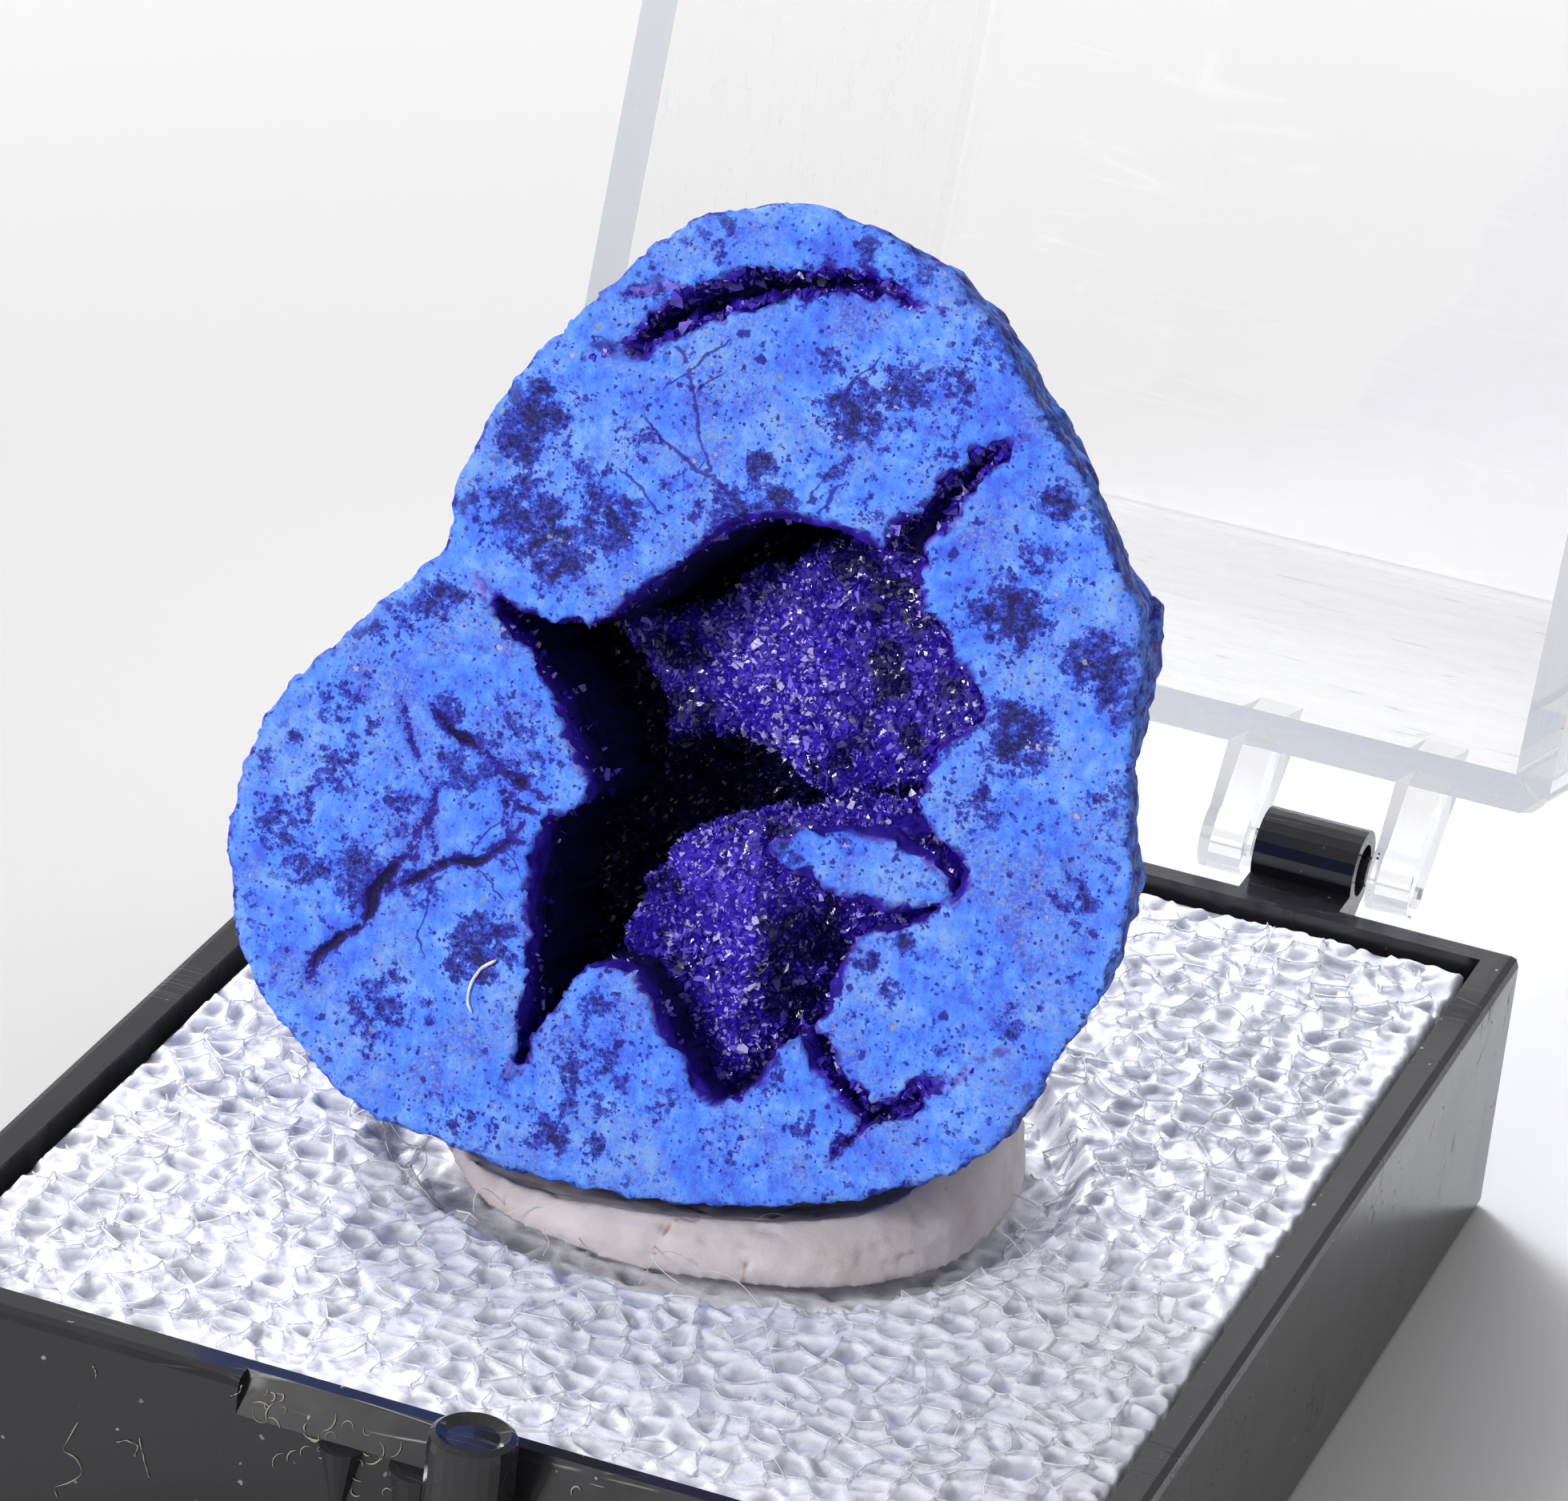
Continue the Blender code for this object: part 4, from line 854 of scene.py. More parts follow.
def stains_over(tint, graph, place, look):
    """The tint with its dark clouds, specks and pale grains, and a mask of the clouds."""
    cloud = graph.noise(graph.warped(place, 1.0 / 0.35, 0.12), 0.42, 8.0, 0.74)
    crowd = graph.line(graph.noise(place, 2.4, 2.0), 0.2, -0.1)
    crowd = graph.line(graph.value("stain"), 0.19, crowd)
    dark = graph.math("ADD", graph.math("SUBTRACT", cloud, 0.62), crowd)
    tint = graph.paint(tint, look.cobalt, dark, -0.05, 0.01, 0.8)
    stained = graph.step(dark, 0.0, 0.022)
    grit = graph.step(graph.noise(place, 0.11, 3.0, 0.7), 0.42, 0.55, 1.0, 0.35)
    tint = graph.coat(tint, look.speck, stained, grit)
    for size, share, radius in ((0.45, 0.24, 0.32), (0.24, 0.4, 0.34), (0.13, 0.45, 0.38)):
        mask, shade = graph.flecks(place, size, graph.line(crowd, 3.2, share), radius, 0.95)
        tint = graph.coat(tint, look.speck, mask, graph.step(shade, 0.1, 0.9, 0.45, 0.92))
    tint = graph.paint(tint, look.ink, dark, 0.05, 0.11, 0.7)
    share = graph.line(graph.value("clay"), 0.5, 0.025)
    mask, shade = graph.flecks(place, 0.24, share, 0.3, 0.9)
    return graph.coat(tint, graph.blend(shade, look.clay, look.frost), mask, 0.75), stained


def edges_over(tint, graph, place, look):
    """The tint with a dark indigo band round openings, a painted highlight of lavender along their
    edges, a painted pale rim along the outline, and the veins and hairlines.
    """
    mouth = graph.value("mouth")
    lip = graph.times(graph.step(mouth, 0.2, 0.0),
                      graph.step(graph.noise(place, 0.35, 4.0), 0.4, 0.58))
    tint = graph.coat(tint, look.indigo, lip, 0.85)
    # Painted highlight: a thin lavender line, in patches, along the edges of openings
    edge = graph.times(graph.step(mouth, 0.07, 0.02),
                       graph.step(graph.noise(place, 1.2), 0.42, 0.55))
    tint = graph.coat(tint, look.lavender, edge, 0.55)
    # Painted highlight: paler sky blue near the outline
    tint = graph.paint(tint, look.sky, graph.value("outline"), 0.5, 0.0, 0.22)

    gap = graph.value("vein_gap")
    frayed = graph.math("ADD", gap, graph.line(graph.noise(place, 0.14, 5.0, 0.7), 0.5, -0.25))
    tint = graph.paint(tint, look.cobalt, frayed, 0.2, 0.03, 0.4)
    tint = graph.paint(tint, look.indigo, frayed, 0.05, 0.02, 0.95)
    tint = graph.paint(tint, look.ink, gap, -0.01, -0.06, 0.85)
    across = graph.math("ADD", graph.math("ABSOLUTE", graph.value("hair_side")),
                        graph.line(graph.noise(place, 0.08, 2.0), 1.6, -0.8))
    hair = graph.times(graph.step(across, 1.3, 0.5), graph.value("hair_near"))
    return graph.coat(tint, look.indigo, hair, 0.85)


def azurite_material(look):
    """Azurite: the sawn face, the rind on its back and the walls of its openings."""
    material, graph = new_material("azurite")
    place = graph.vector("cut_place")
    tint, stained = stains_over(azure_ground(graph, place, look), graph, place, look)
    tint = edges_over(tint, graph, place, look)

    coarse = graph.noise(place, 0.5, 5.0, 0.65)
    rind = graph.paint(look.indigo, look.teal, coarse, 0.4, 0.56)
    rind = graph.paint(rind, look.azure, coarse, 0.5, 0.64, 0.8)
    rind = graph.paint(rind, look.clay, graph.noise(place, 0.7, 5.0, 0.7), 0.54, 0.68, 0.45)
    tint = graph.blend(graph.value("on_skin"), tint, rind)
    # Walls of openings: indigo and violet at random, with painted shade towards ink further in
    wall = graph.paint(look.indigo, look.violet, coarse, 0.4, 0.65)
    wall = graph.coat(wall, look.ink, graph.value("deep"), 0.9)
    tint = graph.blend(graph.value("in_hollow"), tint, wall)

    grain = graph.grain(place, 0.14, 0.7)
    return finished(material, graph, {
        "Base Color": tint, "Roughness": graph.step(grain, 0.35, 0.65, 0.48, 0.72),
        "Normal": graph.bump(graph.line(stained, -0.35, grain), 0.06, 0.6),
        "Specular IOR Level": 0.22})


def crystal_material(look):
    """Azurite crystals: dark glassy violet-blue and a few pale ones, with painted light and painted
    shade in spots, and painted shade far down in the hollow.
    """
    material, graph = new_material("azurite_crystal")
    place = graph.place()
    # Painted light and painted shade in spots: crystals are paler where it is high and darker where
    # low
    sheen = graph.value("sheen")
    number = graph.line(sheen, 0.34, graph.value("tint"))
    number = graph.math("SUBTRACT", number, 0.17)
    tint = graph.paint(look.indigo, look.violet, number, 0.2, 0.5)
    tint = graph.paint(tint, look.lavender, number, 0.68, 0.86, 0.85)
    tint = graph.paint(tint, look.frost, number, 0.93, 0.97, 0.85)
    # Dark clouds of ink at random, fewer under painted light and more under painted shade
    cloud = graph.line(sheen, -0.24, graph.noise(place, 1.1, 4.0, 0.65))
    tint = graph.paint(tint, look.ink, cloud, 0.38, 0.5, 0.8)
    # Painted shade: crystals far down in the hollow go nearly to ink
    tint = graph.coat(tint, look.ink, graph.value("deep"), 0.93)
    gloss = graph.step(graph.noise(place, 0.3, 2.0), 0.4, 0.7, 0.1, 0.3)
    return finished(material, graph, {
        "Base Color": tint, "Roughness": gloss, "Specular IOR Level": 0.6,
        "Normal": graph.bump(graph.noise(place, 0.05, 2.0), 0.01, 0.5)})


def putty_material(look):
    """Putty: pale, dull and faintly pink, browner in its creases, with stray dark grains."""
    material, graph = new_material("putty")
    place = graph.place()
    cloud = graph.noise(place, 1.6, 4.0)
    tint = graph.paint(look.putty, look.putty_brown, cloud, 0.4, 0.65, 0.25)
    tint = graph.paint(tint, look.putty_brown, graph.value("crease"), 0.2, 0.9, 0.9)
    specks = graph.flecks(place, 0.8, 0.16, 0.1, 0.4)[0]
    return finished(material, graph, {
        "Base Color": graph.coat(tint, tone(70, 56, 56), specks, 0.7),
        "Roughness": graph.step(cloud, 0.3, 0.7, 0.5, 0.7),
        "Normal": graph.bump(graph.grain(place, 0.12, 0.6), 0.04, 0.5)})


def foam_material(look):
    """Foam plastic: milky walls, with painted shade down in the cells and grey clouds at random,
    and a slight gloss.
    """
    material, graph = new_material("foam")
    place = graph.place()
    cloud = graph.noise(place, 0.5)
    # Painted shade: greyer down in the cells, by how far down each point lies
    tint = graph.paint(look.foam, look.foam_deep, graph.value("cell_depth"), 0.05, 0.75)
    return finished(material, graph, {
        "Base Color": graph.paint(tint, look.foam_deep, cloud, 0.45, 0.7, 0.3),
        "Roughness": graph.step(cloud, 0.3, 0.7, 0.25, 0.5),
        "Normal": graph.bump(graph.grain(place, 0.16, 0.55), 0.05, 0.5)})


def film_material(look):
    """Torn foam film: milky, shiny and mostly see-through."""
    material, graph = new_material("foam_film")
    cloud = graph.noise(graph.place(), 0.25)
    return finished(material, graph, {
        "Base Color": graph.paint(look.shine, look.foam, cloud, 0.4, 0.65),
        "Alpha": graph.step(cloud, 0.35, 0.7, 0.12, 0.42),
        "Roughness": graph.step(cloud, 0.3, 0.7, 0.1, 0.35),
        "Normal": graph.bump(cloud, 0.03, 0.6)})


def thread_material(look):
    """Thickened edges of the foam's films: bright and glossy."""
    material, graph = new_material("foam_thread")
    cloud = graph.noise(graph.place(), 0.4, 2.0)
    return finished(material, graph, {
        "Base Color": graph.paint(look.shine, look.foam, cloud, 0.35, 0.65),
        "Alpha": graph.step(cloud, 0.3, 0.6, 0.9, 0.45),
        "Roughness": graph.step(cloud, 0.3, 0.7, 0.15, 0.4)})


def lint_material(name, pale):
    """Lint, brighter and duller along its length."""
    material, graph = new_material(name)
    cloud = graph.noise(graph.place(), 0.3, 2.0)
    dull = tuple(0.6 * share for share in pale)
    return finished(material, graph, {
        "Base Color": graph.paint(pale, dull, cloud, 0.35, 0.65, 0.5), "Roughness": 0.5})


def black_material(look):
    """Glossy black plastic with faint moulding ripple, fine scratches and dust."""
    material, graph = new_material("black_plastic")
    place = graph.place()
    specks = graph.flecks(place, 0.5, 0.35, 0.12, 0.5)[0]
    marks = graph.scratches(place, 7.0, 0.012)
    haze = graph.step(graph.noise(place, 3.5, 4.0, 0.6), 0.42, 0.72)
    dusty = graph.times(specks, graph.line(haze, 0.5, 0.3))
    gloss = graph.line(marks, 0.25, graph.line(haze, 0.05, 0.14))
    ripple = graph.bump(graph.noise(place, 2.2, 2.0), 0.04, 0.25)
    return finished(material, graph, {
        "Base Color": graph.blend(dusty, look.black, look.dust),
        "Roughness": graph.line(dusty, 0.4, gloss),
        "Normal": graph.bump(marks, 0.004, 0.5, Normal=ripple)})


LONGEST_CATCH = 3.5


def clear_material(look):
    """Clear moulded plastic that lets lamps through, with faint scuffs and dust.

    Light caught between its two faces for more than a few turns is let out.
    """
    material, graph = new_material("clear_plastic")
    place = graph.place()
    specks = graph.flecks(place, 1.1, 0.25, 0.06, 0.4)[0]
    worn = graph.math("MAXIMUM", graph.scratches(place, 9.0, 0.01), specks)
    tint = graph.coat((1.0, 1.0, 1.0), tone(214, 214, 222), specks, 0.5)
    glass = graph.add("BsdfPrincipled",
                      {"Base Color": tint, "Transmission Weight": 1.0, "IOR": 1.38,
                       "Roughness": graph.line(worn, 0.25, 0.02),
                       "Normal": graph.bump(graph.noise(place, 4.0, 2.0), 0.05, 0.2)})
    lamps = graph.add("BsdfTransparent", {"Color": (0.93, 0.94, 0.96)})
    path = graph.add("LightPath").outputs
    caught = graph.math("GREATER_THAN", path["Ray Depth"], LONGEST_CATCH)
    passed = graph.math("MAXIMUM", path["Is Shadow Ray"], caught)
    mixed = graph.add("MixShader", {0: passed, 1: glass.outputs[0], 2: lamps.outputs[0]})
    density = graph.add("VolumeAbsorption", {"Color": tone(196, 210, 240),
                                             "Density": look.clear_density})
    graph.add("OutputMaterial", {"Surface": mixed.outputs[0], "Volume": density.outputs[0]})
    return material


def floor_material(look):
    """Matt pale floor, with painted shade that makes it a little greyer in the middle, round the
    box.
    """
    material, graph = new_material("floor")
    place = graph.place()
    away = graph.add("VectorMath", {0: place}, operation="LENGTH").outputs["Value"]
    # Painted shade: darker towards the middle, from 150 mm in to 45 mm, with a faint noise
    near = graph.line(graph.noise(place, 40.0, 2.0), 0.1, graph.step(away, 150.0, 45.0))
    tint = graph.blend(near, look.floor, tuple(0.8 * share for share in look.floor))
    return finished(material, graph,
                    {"Base Color": tint, "Roughness": 0.9, "Specular IOR Level": 0.1})


# ------------------------------------------------------------------ surfaces

def cut_borders():
    """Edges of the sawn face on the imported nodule: the outline's, and those of every opening.

    A triangle is on the face if its three corners are; an edge with one such triangle is a
    border, and the border island with the widest spread is the outline.
    """
    mesh = merged_solid("azurite_nodule")
    face = to_face(mesh_points(mesh))
    triangles = mesh_triangles(mesh)
    flat = triangles[(np.abs(face[triangles, 2]) < ON_FACE).all(axis=1)]
    if len(flat) == 0:
        raise RuntimeError("the nodule has no sawn face where it should stand")
    edges, uses = np.unique(np.sort(triangle_edges(flat), axis=1), axis=0, return_counts=True)
    border = edges[uses == 1]
    label = islands(len(face), border)[border[:, 0]]
    spread = {key: np.ptp(face[border[label == key, 0], 1]) for key in np.unique(label)}
    outer = label == max(spread, key=spread.get)
    bpy.data.meshes.remove(mesh)
    return face[border[outer]][:, :, :2], face[border[~outer]][:, :, :2]


def in_openings(places):
    """Which places lie within an opening of the sawn face."""
    starts, ends = np.moveaxis(cut_borders()[1], 1, 0)
    return within(places, starts, ends)


def stone_regions(face, normals, edges):
    """Which points lie on the sawn face, which on the skin, and which in an opening.

    Off the face, each connected island is skin if it reaches the nodule's back half.
    """
    flat = (face[:, 2] > -0.05) & (normals @ FACE_OUT > 0.6)
    loose = edges[~flat[edges].any(axis=1)]
    label = islands(len(face), loose)
    backs = label[face[:, 2] < face[:, 2].min() * 0.9]
    skin = ~flat & np.isin(label, np.unique(backs))
    return flat, skin, ~flat & ~skin


def disc_field(places, discs):
    """The strongest of several soft discs, each u, v, radius and, where it isn't 1, strength."""
    level = np.zeros(len(places))
    for disc in discs:
        u, v, radius, strength = (*disc, 1.0)[:4]
        away = np.hypot(places[:, 0] - u, places[:, 1] - v)
        level = np.maximum(level, strength * ease(away, radius * 1.5, radius * 0.4))
    return level


def hollow_depth(places):
    """How far down the lining lies under each place on the face.

    The upper floor blends a few depths by nearness. The spur falls from its ridge by a slope
    to each side. Both end in cliffs with ragged edges, and between them the hollow lies far down.
    """
    wander = sideways_noise(places, 0.9, SEED + 40, 4, 0.65)
    ragged = places + 0.17 * wander
    spots = np.array(FLOOR_SPOTS)
    near = np.exp(-((ragged[:, None] - spots[None, :, :2]) ** 2).sum(axis=2) / 0.9) + 1e-9
    floor = (near * spots[:, 2]).sum(axis=1) / near.sum(axis=1)
    depth = DEEPEST + 0.4 * wander[:, 0]
    depth = depth + (floor - depth) * ease(loop_field(ragged, UPPER_FLOOR), -0.55, 0.35)

    ridge = np.array(SPUR_RIDGE)
    away, side = line_field(ragged, ridge[:-1, :2], ridge[1:, :2])[:2]
    height = np.interp(-ragged[:, 1], -ridge[:, 1], ridge[:, 2])
    left = ragged[:, 0] < np.interp(-ragged[:, 1], -ridge[:, 1], ridge[:, 0])
    spur = height + np.where(left, np.minimum(0.5 * away, 1.7), np.minimum(1.0 * away, 1.8))
    line = np.array(ISLET_LINE)
    islet = line_field(places, line[:1], line[1:])[0] - ISLET_HALF
    spur = np.minimum(spur, 0.4 + 1.3 * np.maximum(islet, 0.0))
    depth = depth + (spur - depth) * ease(loop_field(ragged, SPUR), -0.16, 0.1)
    return np.maximum(depth + 0.12 * wander[:, 1] * np.minimum(depth, 1.0), 0.3)


def skin_relief(face, relief):
    """How far the nodule's skin rises: three noises and round knobs, none beside the face."""
    lumps = rough_noise(face, 1.9, SEED + 3, 5, 0.55)
    knobs, _, size = cell_noise(face, 0.75, SEED + 9)
    knobs = np.sqrt(np.clip(1.0 - (knobs / 0.55) ** 2, 0.0, 1.0)) * size
    rise = relief * np.minimum(0.55 * lumps + 0.8 * knobs - 0.75, -0.15)
    return rise * ease(face[:, 2], -0.02, -0.45)


def stone_mesh(look):
    """The nodule: an even net on its solid, moved along its normals.

    The skin rises and falls by three noises. On the face, points near an opening shift
    sideways so that its edge is ragged, and points in a vein sink by an eased step of their
    distance to it. The hollow's floor sinks below its lining.
    """
    mesh = remeshed_solid("azurite_nodule", look.voxel)
    points = mesh_points(mesh)
    normals = mesh_normals(mesh)
    face = to_face(points)
    edges = gathered(mesh.edges, "vertices", 2, np.int64)
    flat, skin, hollow = stone_regions(face, normals, edges)
    face[flat & (np.abs(face[:, 2]) < 0.04), 2] = 0.0

    outline, openings = cut_borders()
    rim = line_field(face[:, :2], outline[:, 0], outline[:, 1])[0]
    mouth = line_field(face[:, :2], openings[:, 0], openings[:, 1])[0]
    drawn = face[:, :2] + 0.085 * sideways_noise(face[:, :2], 0.5, SEED + 15, 4, 0.6)
    vein_away, _, vein_half = path_field(drawn, VEINS)
    vein_half = vein_half * (0.72 + 0.5 * smooth_noise(face[:, :2], 0.45, SEED + 17))
    vein_gap = np.where(flat, vein_away - vein_half, 1.0)
    hair_away, hair_side, hair_half = path_field(drawn, HAIRLINES)
    hair_gap = hair_away - hair_half

    shallow = ease(face[:, 2], -0.9, -0.1)
    ragged = np.where(skin, 0.0, ease(mouth, 0.45, 0.05) * shallow)
    ragged = np.maximum(ragged, 0.6 * ease(rim, 0.6, 0.1) * shallow)
    for axis in (0, 1):
        face[:, axis] += 0.16 * ragged * rough_noise(face, 0.55, SEED + 20 * axis, 3, 0.7)
    sunk = ease(vein_gap, 0.05, -0.07) * look.vein_depth / MM + 0.03 * ease(hair_gap, 0.06, 0.0)
    worn = 0.04 * ease(mouth, 0.14, 0.0) + 0.05 * ease(rim, 0.25, 0.0)
    pits = 0.05 * ease(rough_noise(face, 0.4, SEED + 60, 4, 0.6), 0.45, 0.9)
    fine = 0.012 * rough_noise(face, 0.3, SEED + 50, 3)
    face[:, 2] -= np.where(flat, sunk + worn + pits - fine, 0.0)

    rough = np.where(skin, skin_relief(face, look.relief / MM), 0.0)
    rough = np.where(hollow, 0.1 * rough_noise(face, 0.5, SEED + 4, 3), rough)
    low = hollow & (mouth > 0.12) & inside_loop(face[:, :2], HOLLOW_BOUND)
    under = -hollow_depth(face[low, :2]) - UNDER_LINING
    face[low, 2] = np.minimum(face[low, 2], under)
    moved = from_face(face) + normals * rough[:, None]
    set_points(mesh, moved)

    keep(mesh, cut_place=to_face(moved), in_hollow=np.where(hollow, 1.0, 0.0),
         on_skin=np.where(skin, ease(face[:, 2], -0.02, -0.25), 0.0),
         mouth=np.where(skin, FAR, np.minimum(mouth, FAR)),
         # Nearness to the outline, for a painted pale rim on the face
         outline=np.where(flat, np.minimum(rim, FAR), FAR),
         stain=np.where(flat, disc_field(face, STAINS), 0.5),
         clay=np.where(flat, disc_field(face, CLAY), 0.0),
         # Painted shade on the walls of openings, growing with depth, left out at the trench
         deep=ease(face[:, 2], *WALL_SHADE_DEPTHS) * (1.0 - disc_field(face, TRENCH)),
         vein_gap=np.minimum(vein_gap, 1.0),
         hair_side=np.where(flat, hair_side / np.maximum(hair_half, 0.01), 9.0),
         hair_near=np.where(flat, ease(hair_gap, 0.16, 0.05), 0.0))
    return mesh


def wall_triangles():
    """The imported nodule's points, and those of its triangles that are walls of an opening.

    Off the sawn face, each island of triangles that stays out of the back half is one.
    """
    solid = merged_solid("azurite_nodule")
    points = mesh_points(solid)
    triangles = mesh_triangles(solid)
    bpy.data.meshes.remove(solid)
    face = to_face(points)
    on_face = np.abs(face[:, 2]) < ON_FACE
    rest = triangles[~on_face[triangles].all(axis=1)]
    edges = triangle_edges(rest)
    label = islands(len(face), edges[~on_face[edges].any(axis=1)])
    deepest = rest[np.arange(len(rest)), face[rest, 2].argmin(axis=1)]
    backs = np.unique(label[face[:, 2] < 0.92 * face[:, 2].min()])
    return points, rest[~np.isin(label[deepest], backs)]


def lining_net(step):
    """The lining's shape: a sheet over the hollow's own depth, closed by a second one behind.

    The sheets are a square lattice on the face, cut to the hollow's mouth and one span more.
    """
    bound = np.array(HOLLOW_BOUND)
    u, v = (np.arange(bound[:, k].min(), bound[:, k].max(), step) for k in range(2))
    places = np.stack(np.meshgrid(u, v), axis=-1)
    flat = places.reshape(-1, 2)
    inside = (in_openings(flat) & inside_loop(flat, HOLLOW_BOUND)).reshape(places.shape[:2])
    wide = np.any([shifted(inside, i, j) for i in (-1, 0, 1) for j in (-1, 0, 1)], axis=0)
    cells = wide[:-1, :-1] & wide[1:, :-1] & wide[:-1, 1:] & wide[1:, 1:]

    number = np.arange(len(flat)).reshape(inside.shape)
    corners = np.stack((number[:-1, :-1], number[:-1, 1:], number[1:, 1:], number[1:, :-1]),
                       axis=-1)
    front = corners[cells]
    behind = len(flat)
    faces = [front, front[:, ::-1] + behind]
    for side, (i, j) in enumerate(((-1, 0), (0, 1), (1, 0), (0, -1))):
        edge = corners[cells & ~shifted(cells, i, j)]
        a, b = edge[:, side], edge[:, (side + 1) % 4]
        faces.append(np.stack((b, a, a + behind, b + behind), axis=1))
    depth = hollow_depth(flat)
    lumps = cell_noise(np.column_stack((flat, depth)), 0.32, SEED + 30)[0]
    depth = depth + 0.3 * lumps - 0.05
    points = np.vstack((np.column_stack((flat, -depth)),
                        np.column_stack((flat, -depth - LINING_THICK))))
    used, faces = np.unique(np.vstack(faces), return_inverse=True)
    return points[used], faces.reshape(-1, 4), len(front)


def shifted(marks, i, j):
    """A grid of marks, read i rows and j columns further on, with none past its edge."""
    padded = np.pad(marks, 1)
    rows, columns = marks.shape
    return padded[1 + i:1 + i + rows, 1 + j:1 + j + columns]


def sheen_field(face):
    """Painted light and painted shade on the lining's crystals at each point: middling, paler or
    darker in spots.
    """
    return 0.55 + 0.5 * disc_field(face, PAINTED_LIGHT) - 0.4 * disc_field(face, PAINTED_SHADE)


def lining_mesh(look):
    """The hollow's lining: a sheet over its floor, and small crystals.

    The crystals stand on the sheet's front, and on the stone's own walls near the face, each
    leaning at random from the surface's normal. Fewer stand where the painted shade is darkest.
    """
    rng = np.random.default_rng(SEED)
    net, quads, fronts = lining_net(look.lining_step / MM)
    base = new_mesh("lining_net", from_face(net), quads)
    halves = np.vstack((quads[:fronts, :3], quads[:fronts][:, [0, 2, 3]]))
    places, axes = scatter(from_face(net), halves, 3 * look.crystals, rng)
    face = to_face(places)
    dark = ease(face[:, 2], *SHADE_DEPTHS)
    calm = disc_field(face, TRENCH)
    kept = (rng.random(len(places)) > 0.8 * dark) & (calm < 0.5) & in_openings(face)
    places, axes = places[kept][:look.crystals], axes[kept][:look.crystals]
    points, walls = wall_triangles()
    near_face = to_face(points[walls].mean(axis=1))[:, 2] > -1.6
    wall_places, wall_axes = scatter(points, walls[near_face], look.crystals // 10, rng)
    kept = to_face(wall_places)[:, 2] < -0.25
    places, axes = np.vstack((places, wall_places[kept])), np.vstack((axes, wall_axes[kept]))

    # The sheet's tint is random; it also keeps its painted shade far down in the hollow, and
    # painted light and shade in spots
    keep(base, tint=0.1 + 0.25 * rng.random(len(net)), deep=ease(net[:, 2], *SHADE_DEPTHS),
         sheen=sheen_field(net))

    middling = look.crystal_size / MM
    druse = ease(smooth_noise(places, 1.6, SEED + 31), -0.6, 0.8)
    lengths = middling * rng.lognormal(0.0, 0.4, len(places)) * (0.7 + 0.6 * druse)
    lengths = np.minimum(lengths, 2.4 * middling)
    lengths *= 1.0 - 0.5 * ease(to_face(places)[:, 2], -0.7, -0.3)
    lean = unit(axes + 0.7 * rng.normal(size=axes.shape))
    coat = crystal_mesh("coat", places, lean, lengths, (0.25, 0.5), rng)
    # Painted light and shade in spots on the crystals as well
    keep(coat, sheen=np.repeat(sheen_field(to_face(places)), len(CRYSTAL_POINTS)))
    return joined((base, coat), "crystal_lining")


def vein_crystal_mesh(look):
    """Pale crystals on the walls of the cracks that open on the face, away from the hollow."""
    rng = np.random.default_rng(SEED + 40)
    points, walls = wall_triangles()
    u, v, w = to_face(points[walls].mean(axis=1)).T
    top, right, low = v > 18.2, (u > 1.6) & (v > 16.4), (u > 2.3) & (v < 4.6)
    places, axes = scatter(points, walls[(top | right | low) & (w > -1.2)], VEIN_CRYSTALS, rng)
    lengths = 0.85 * look.crystal_size / MM * rng.lognormal(0.0, 0.45, len(places))
    lean = unit(axes + 0.8 * rng.normal(size=axes.shape))
    mesh = crystal_mesh("vein_crystals", places, lean, lengths, (0.3, 0.6), rng)
    # Middling painted light and shade, the same on every vein crystal
    keep(mesh, sheen=np.full(len(mesh.vertices), 0.6))
    tints = 1.0 - 0.9 * rng.random(len(places)) ** 0.7
    mesh.attributes["tint"].data.foreach_set(
        "value", np.repeat(tints, len(CRYSTAL_POINTS)).astype(np.float32))
    return mesh


def putty_mesh(look):
    """The putty: an even net on its solid with pressed dents, folds and fine wrinkles.

    A fold is a groove where a broad noise passes zero, shown only in some places.
    """
    mesh = remeshed_solid("mounting_putty", look.putty_step)
    points = mesh_points(mesh)
    band = np.abs(rough_noise(points * np.array((1.0, 1.0, 0.6)), 2.1, SEED + 75, 3, 0.6))
    shown = ease(smooth_noise(points, 2.4, SEED + 76), 0.1, 0.5)
    fold = ease(band, 0.07, 0.0) * shown
    scuffs = ease(rough_noise(points, 0.8, SEED + 77, 4, 0.65), 0.35, 0.8)
    rise = (0.09 * smooth_noise(points, 2.6, SEED + 70) - 0.16 * fold - 0.07 * scuffs - 0.04
            + 0.03 * rough_noise(points, 0.5, SEED + 71, 3))
    height = points[:, 2] - box_mm("mounting_putty")[0][2]
    set_points(mesh, points + mesh_normals(mesh) * (rise * ease(height, 0.1, 0.6))[:, None])
    keep(mesh, crease=fold)
    return mesh


FOAM_SEED = SEED + 82


def foam_relief(places, cell, dent):
    """Height of the foam's open cells over its mean level, and how far down in a cell it is, for
    the painted shade in the cells.

    Jittered cells: between the cells the foam is a rounded wall, and each cell is a pit whose
    side falls by an eased step of the distance to its centre, to a depth of its own. Smaller
    cells press shallower pits in the walls.
    """
    drift = places + 0.12 * sideways_noise(places, 0.5, SEED + 84, 1)
    near, second, number = cell_noise(drift, cell, FOAM_SEED)
    edge = second - near
    pit = ease(edge, 0.04, 0.5) * (0.15 + 0.85 * number)
    small_near, small_second, small_number = cell_noise(drift, 0.45 * cell, SEED + 86)
    small = ease(small_second - small_near, 0.05, 0.2) * small_number * (1.0 - 0.6 * pit)
    height = 0.04 - 0.25 * pit - 0.05 * small
    height += 0.07 * rough_noise(places, 1.6, SEED + 90, 3)
    depth = np.clip(pit + 0.4 * small, 0.0, 1.0)
    return height * (1.0 - 0.25 * dent), depth


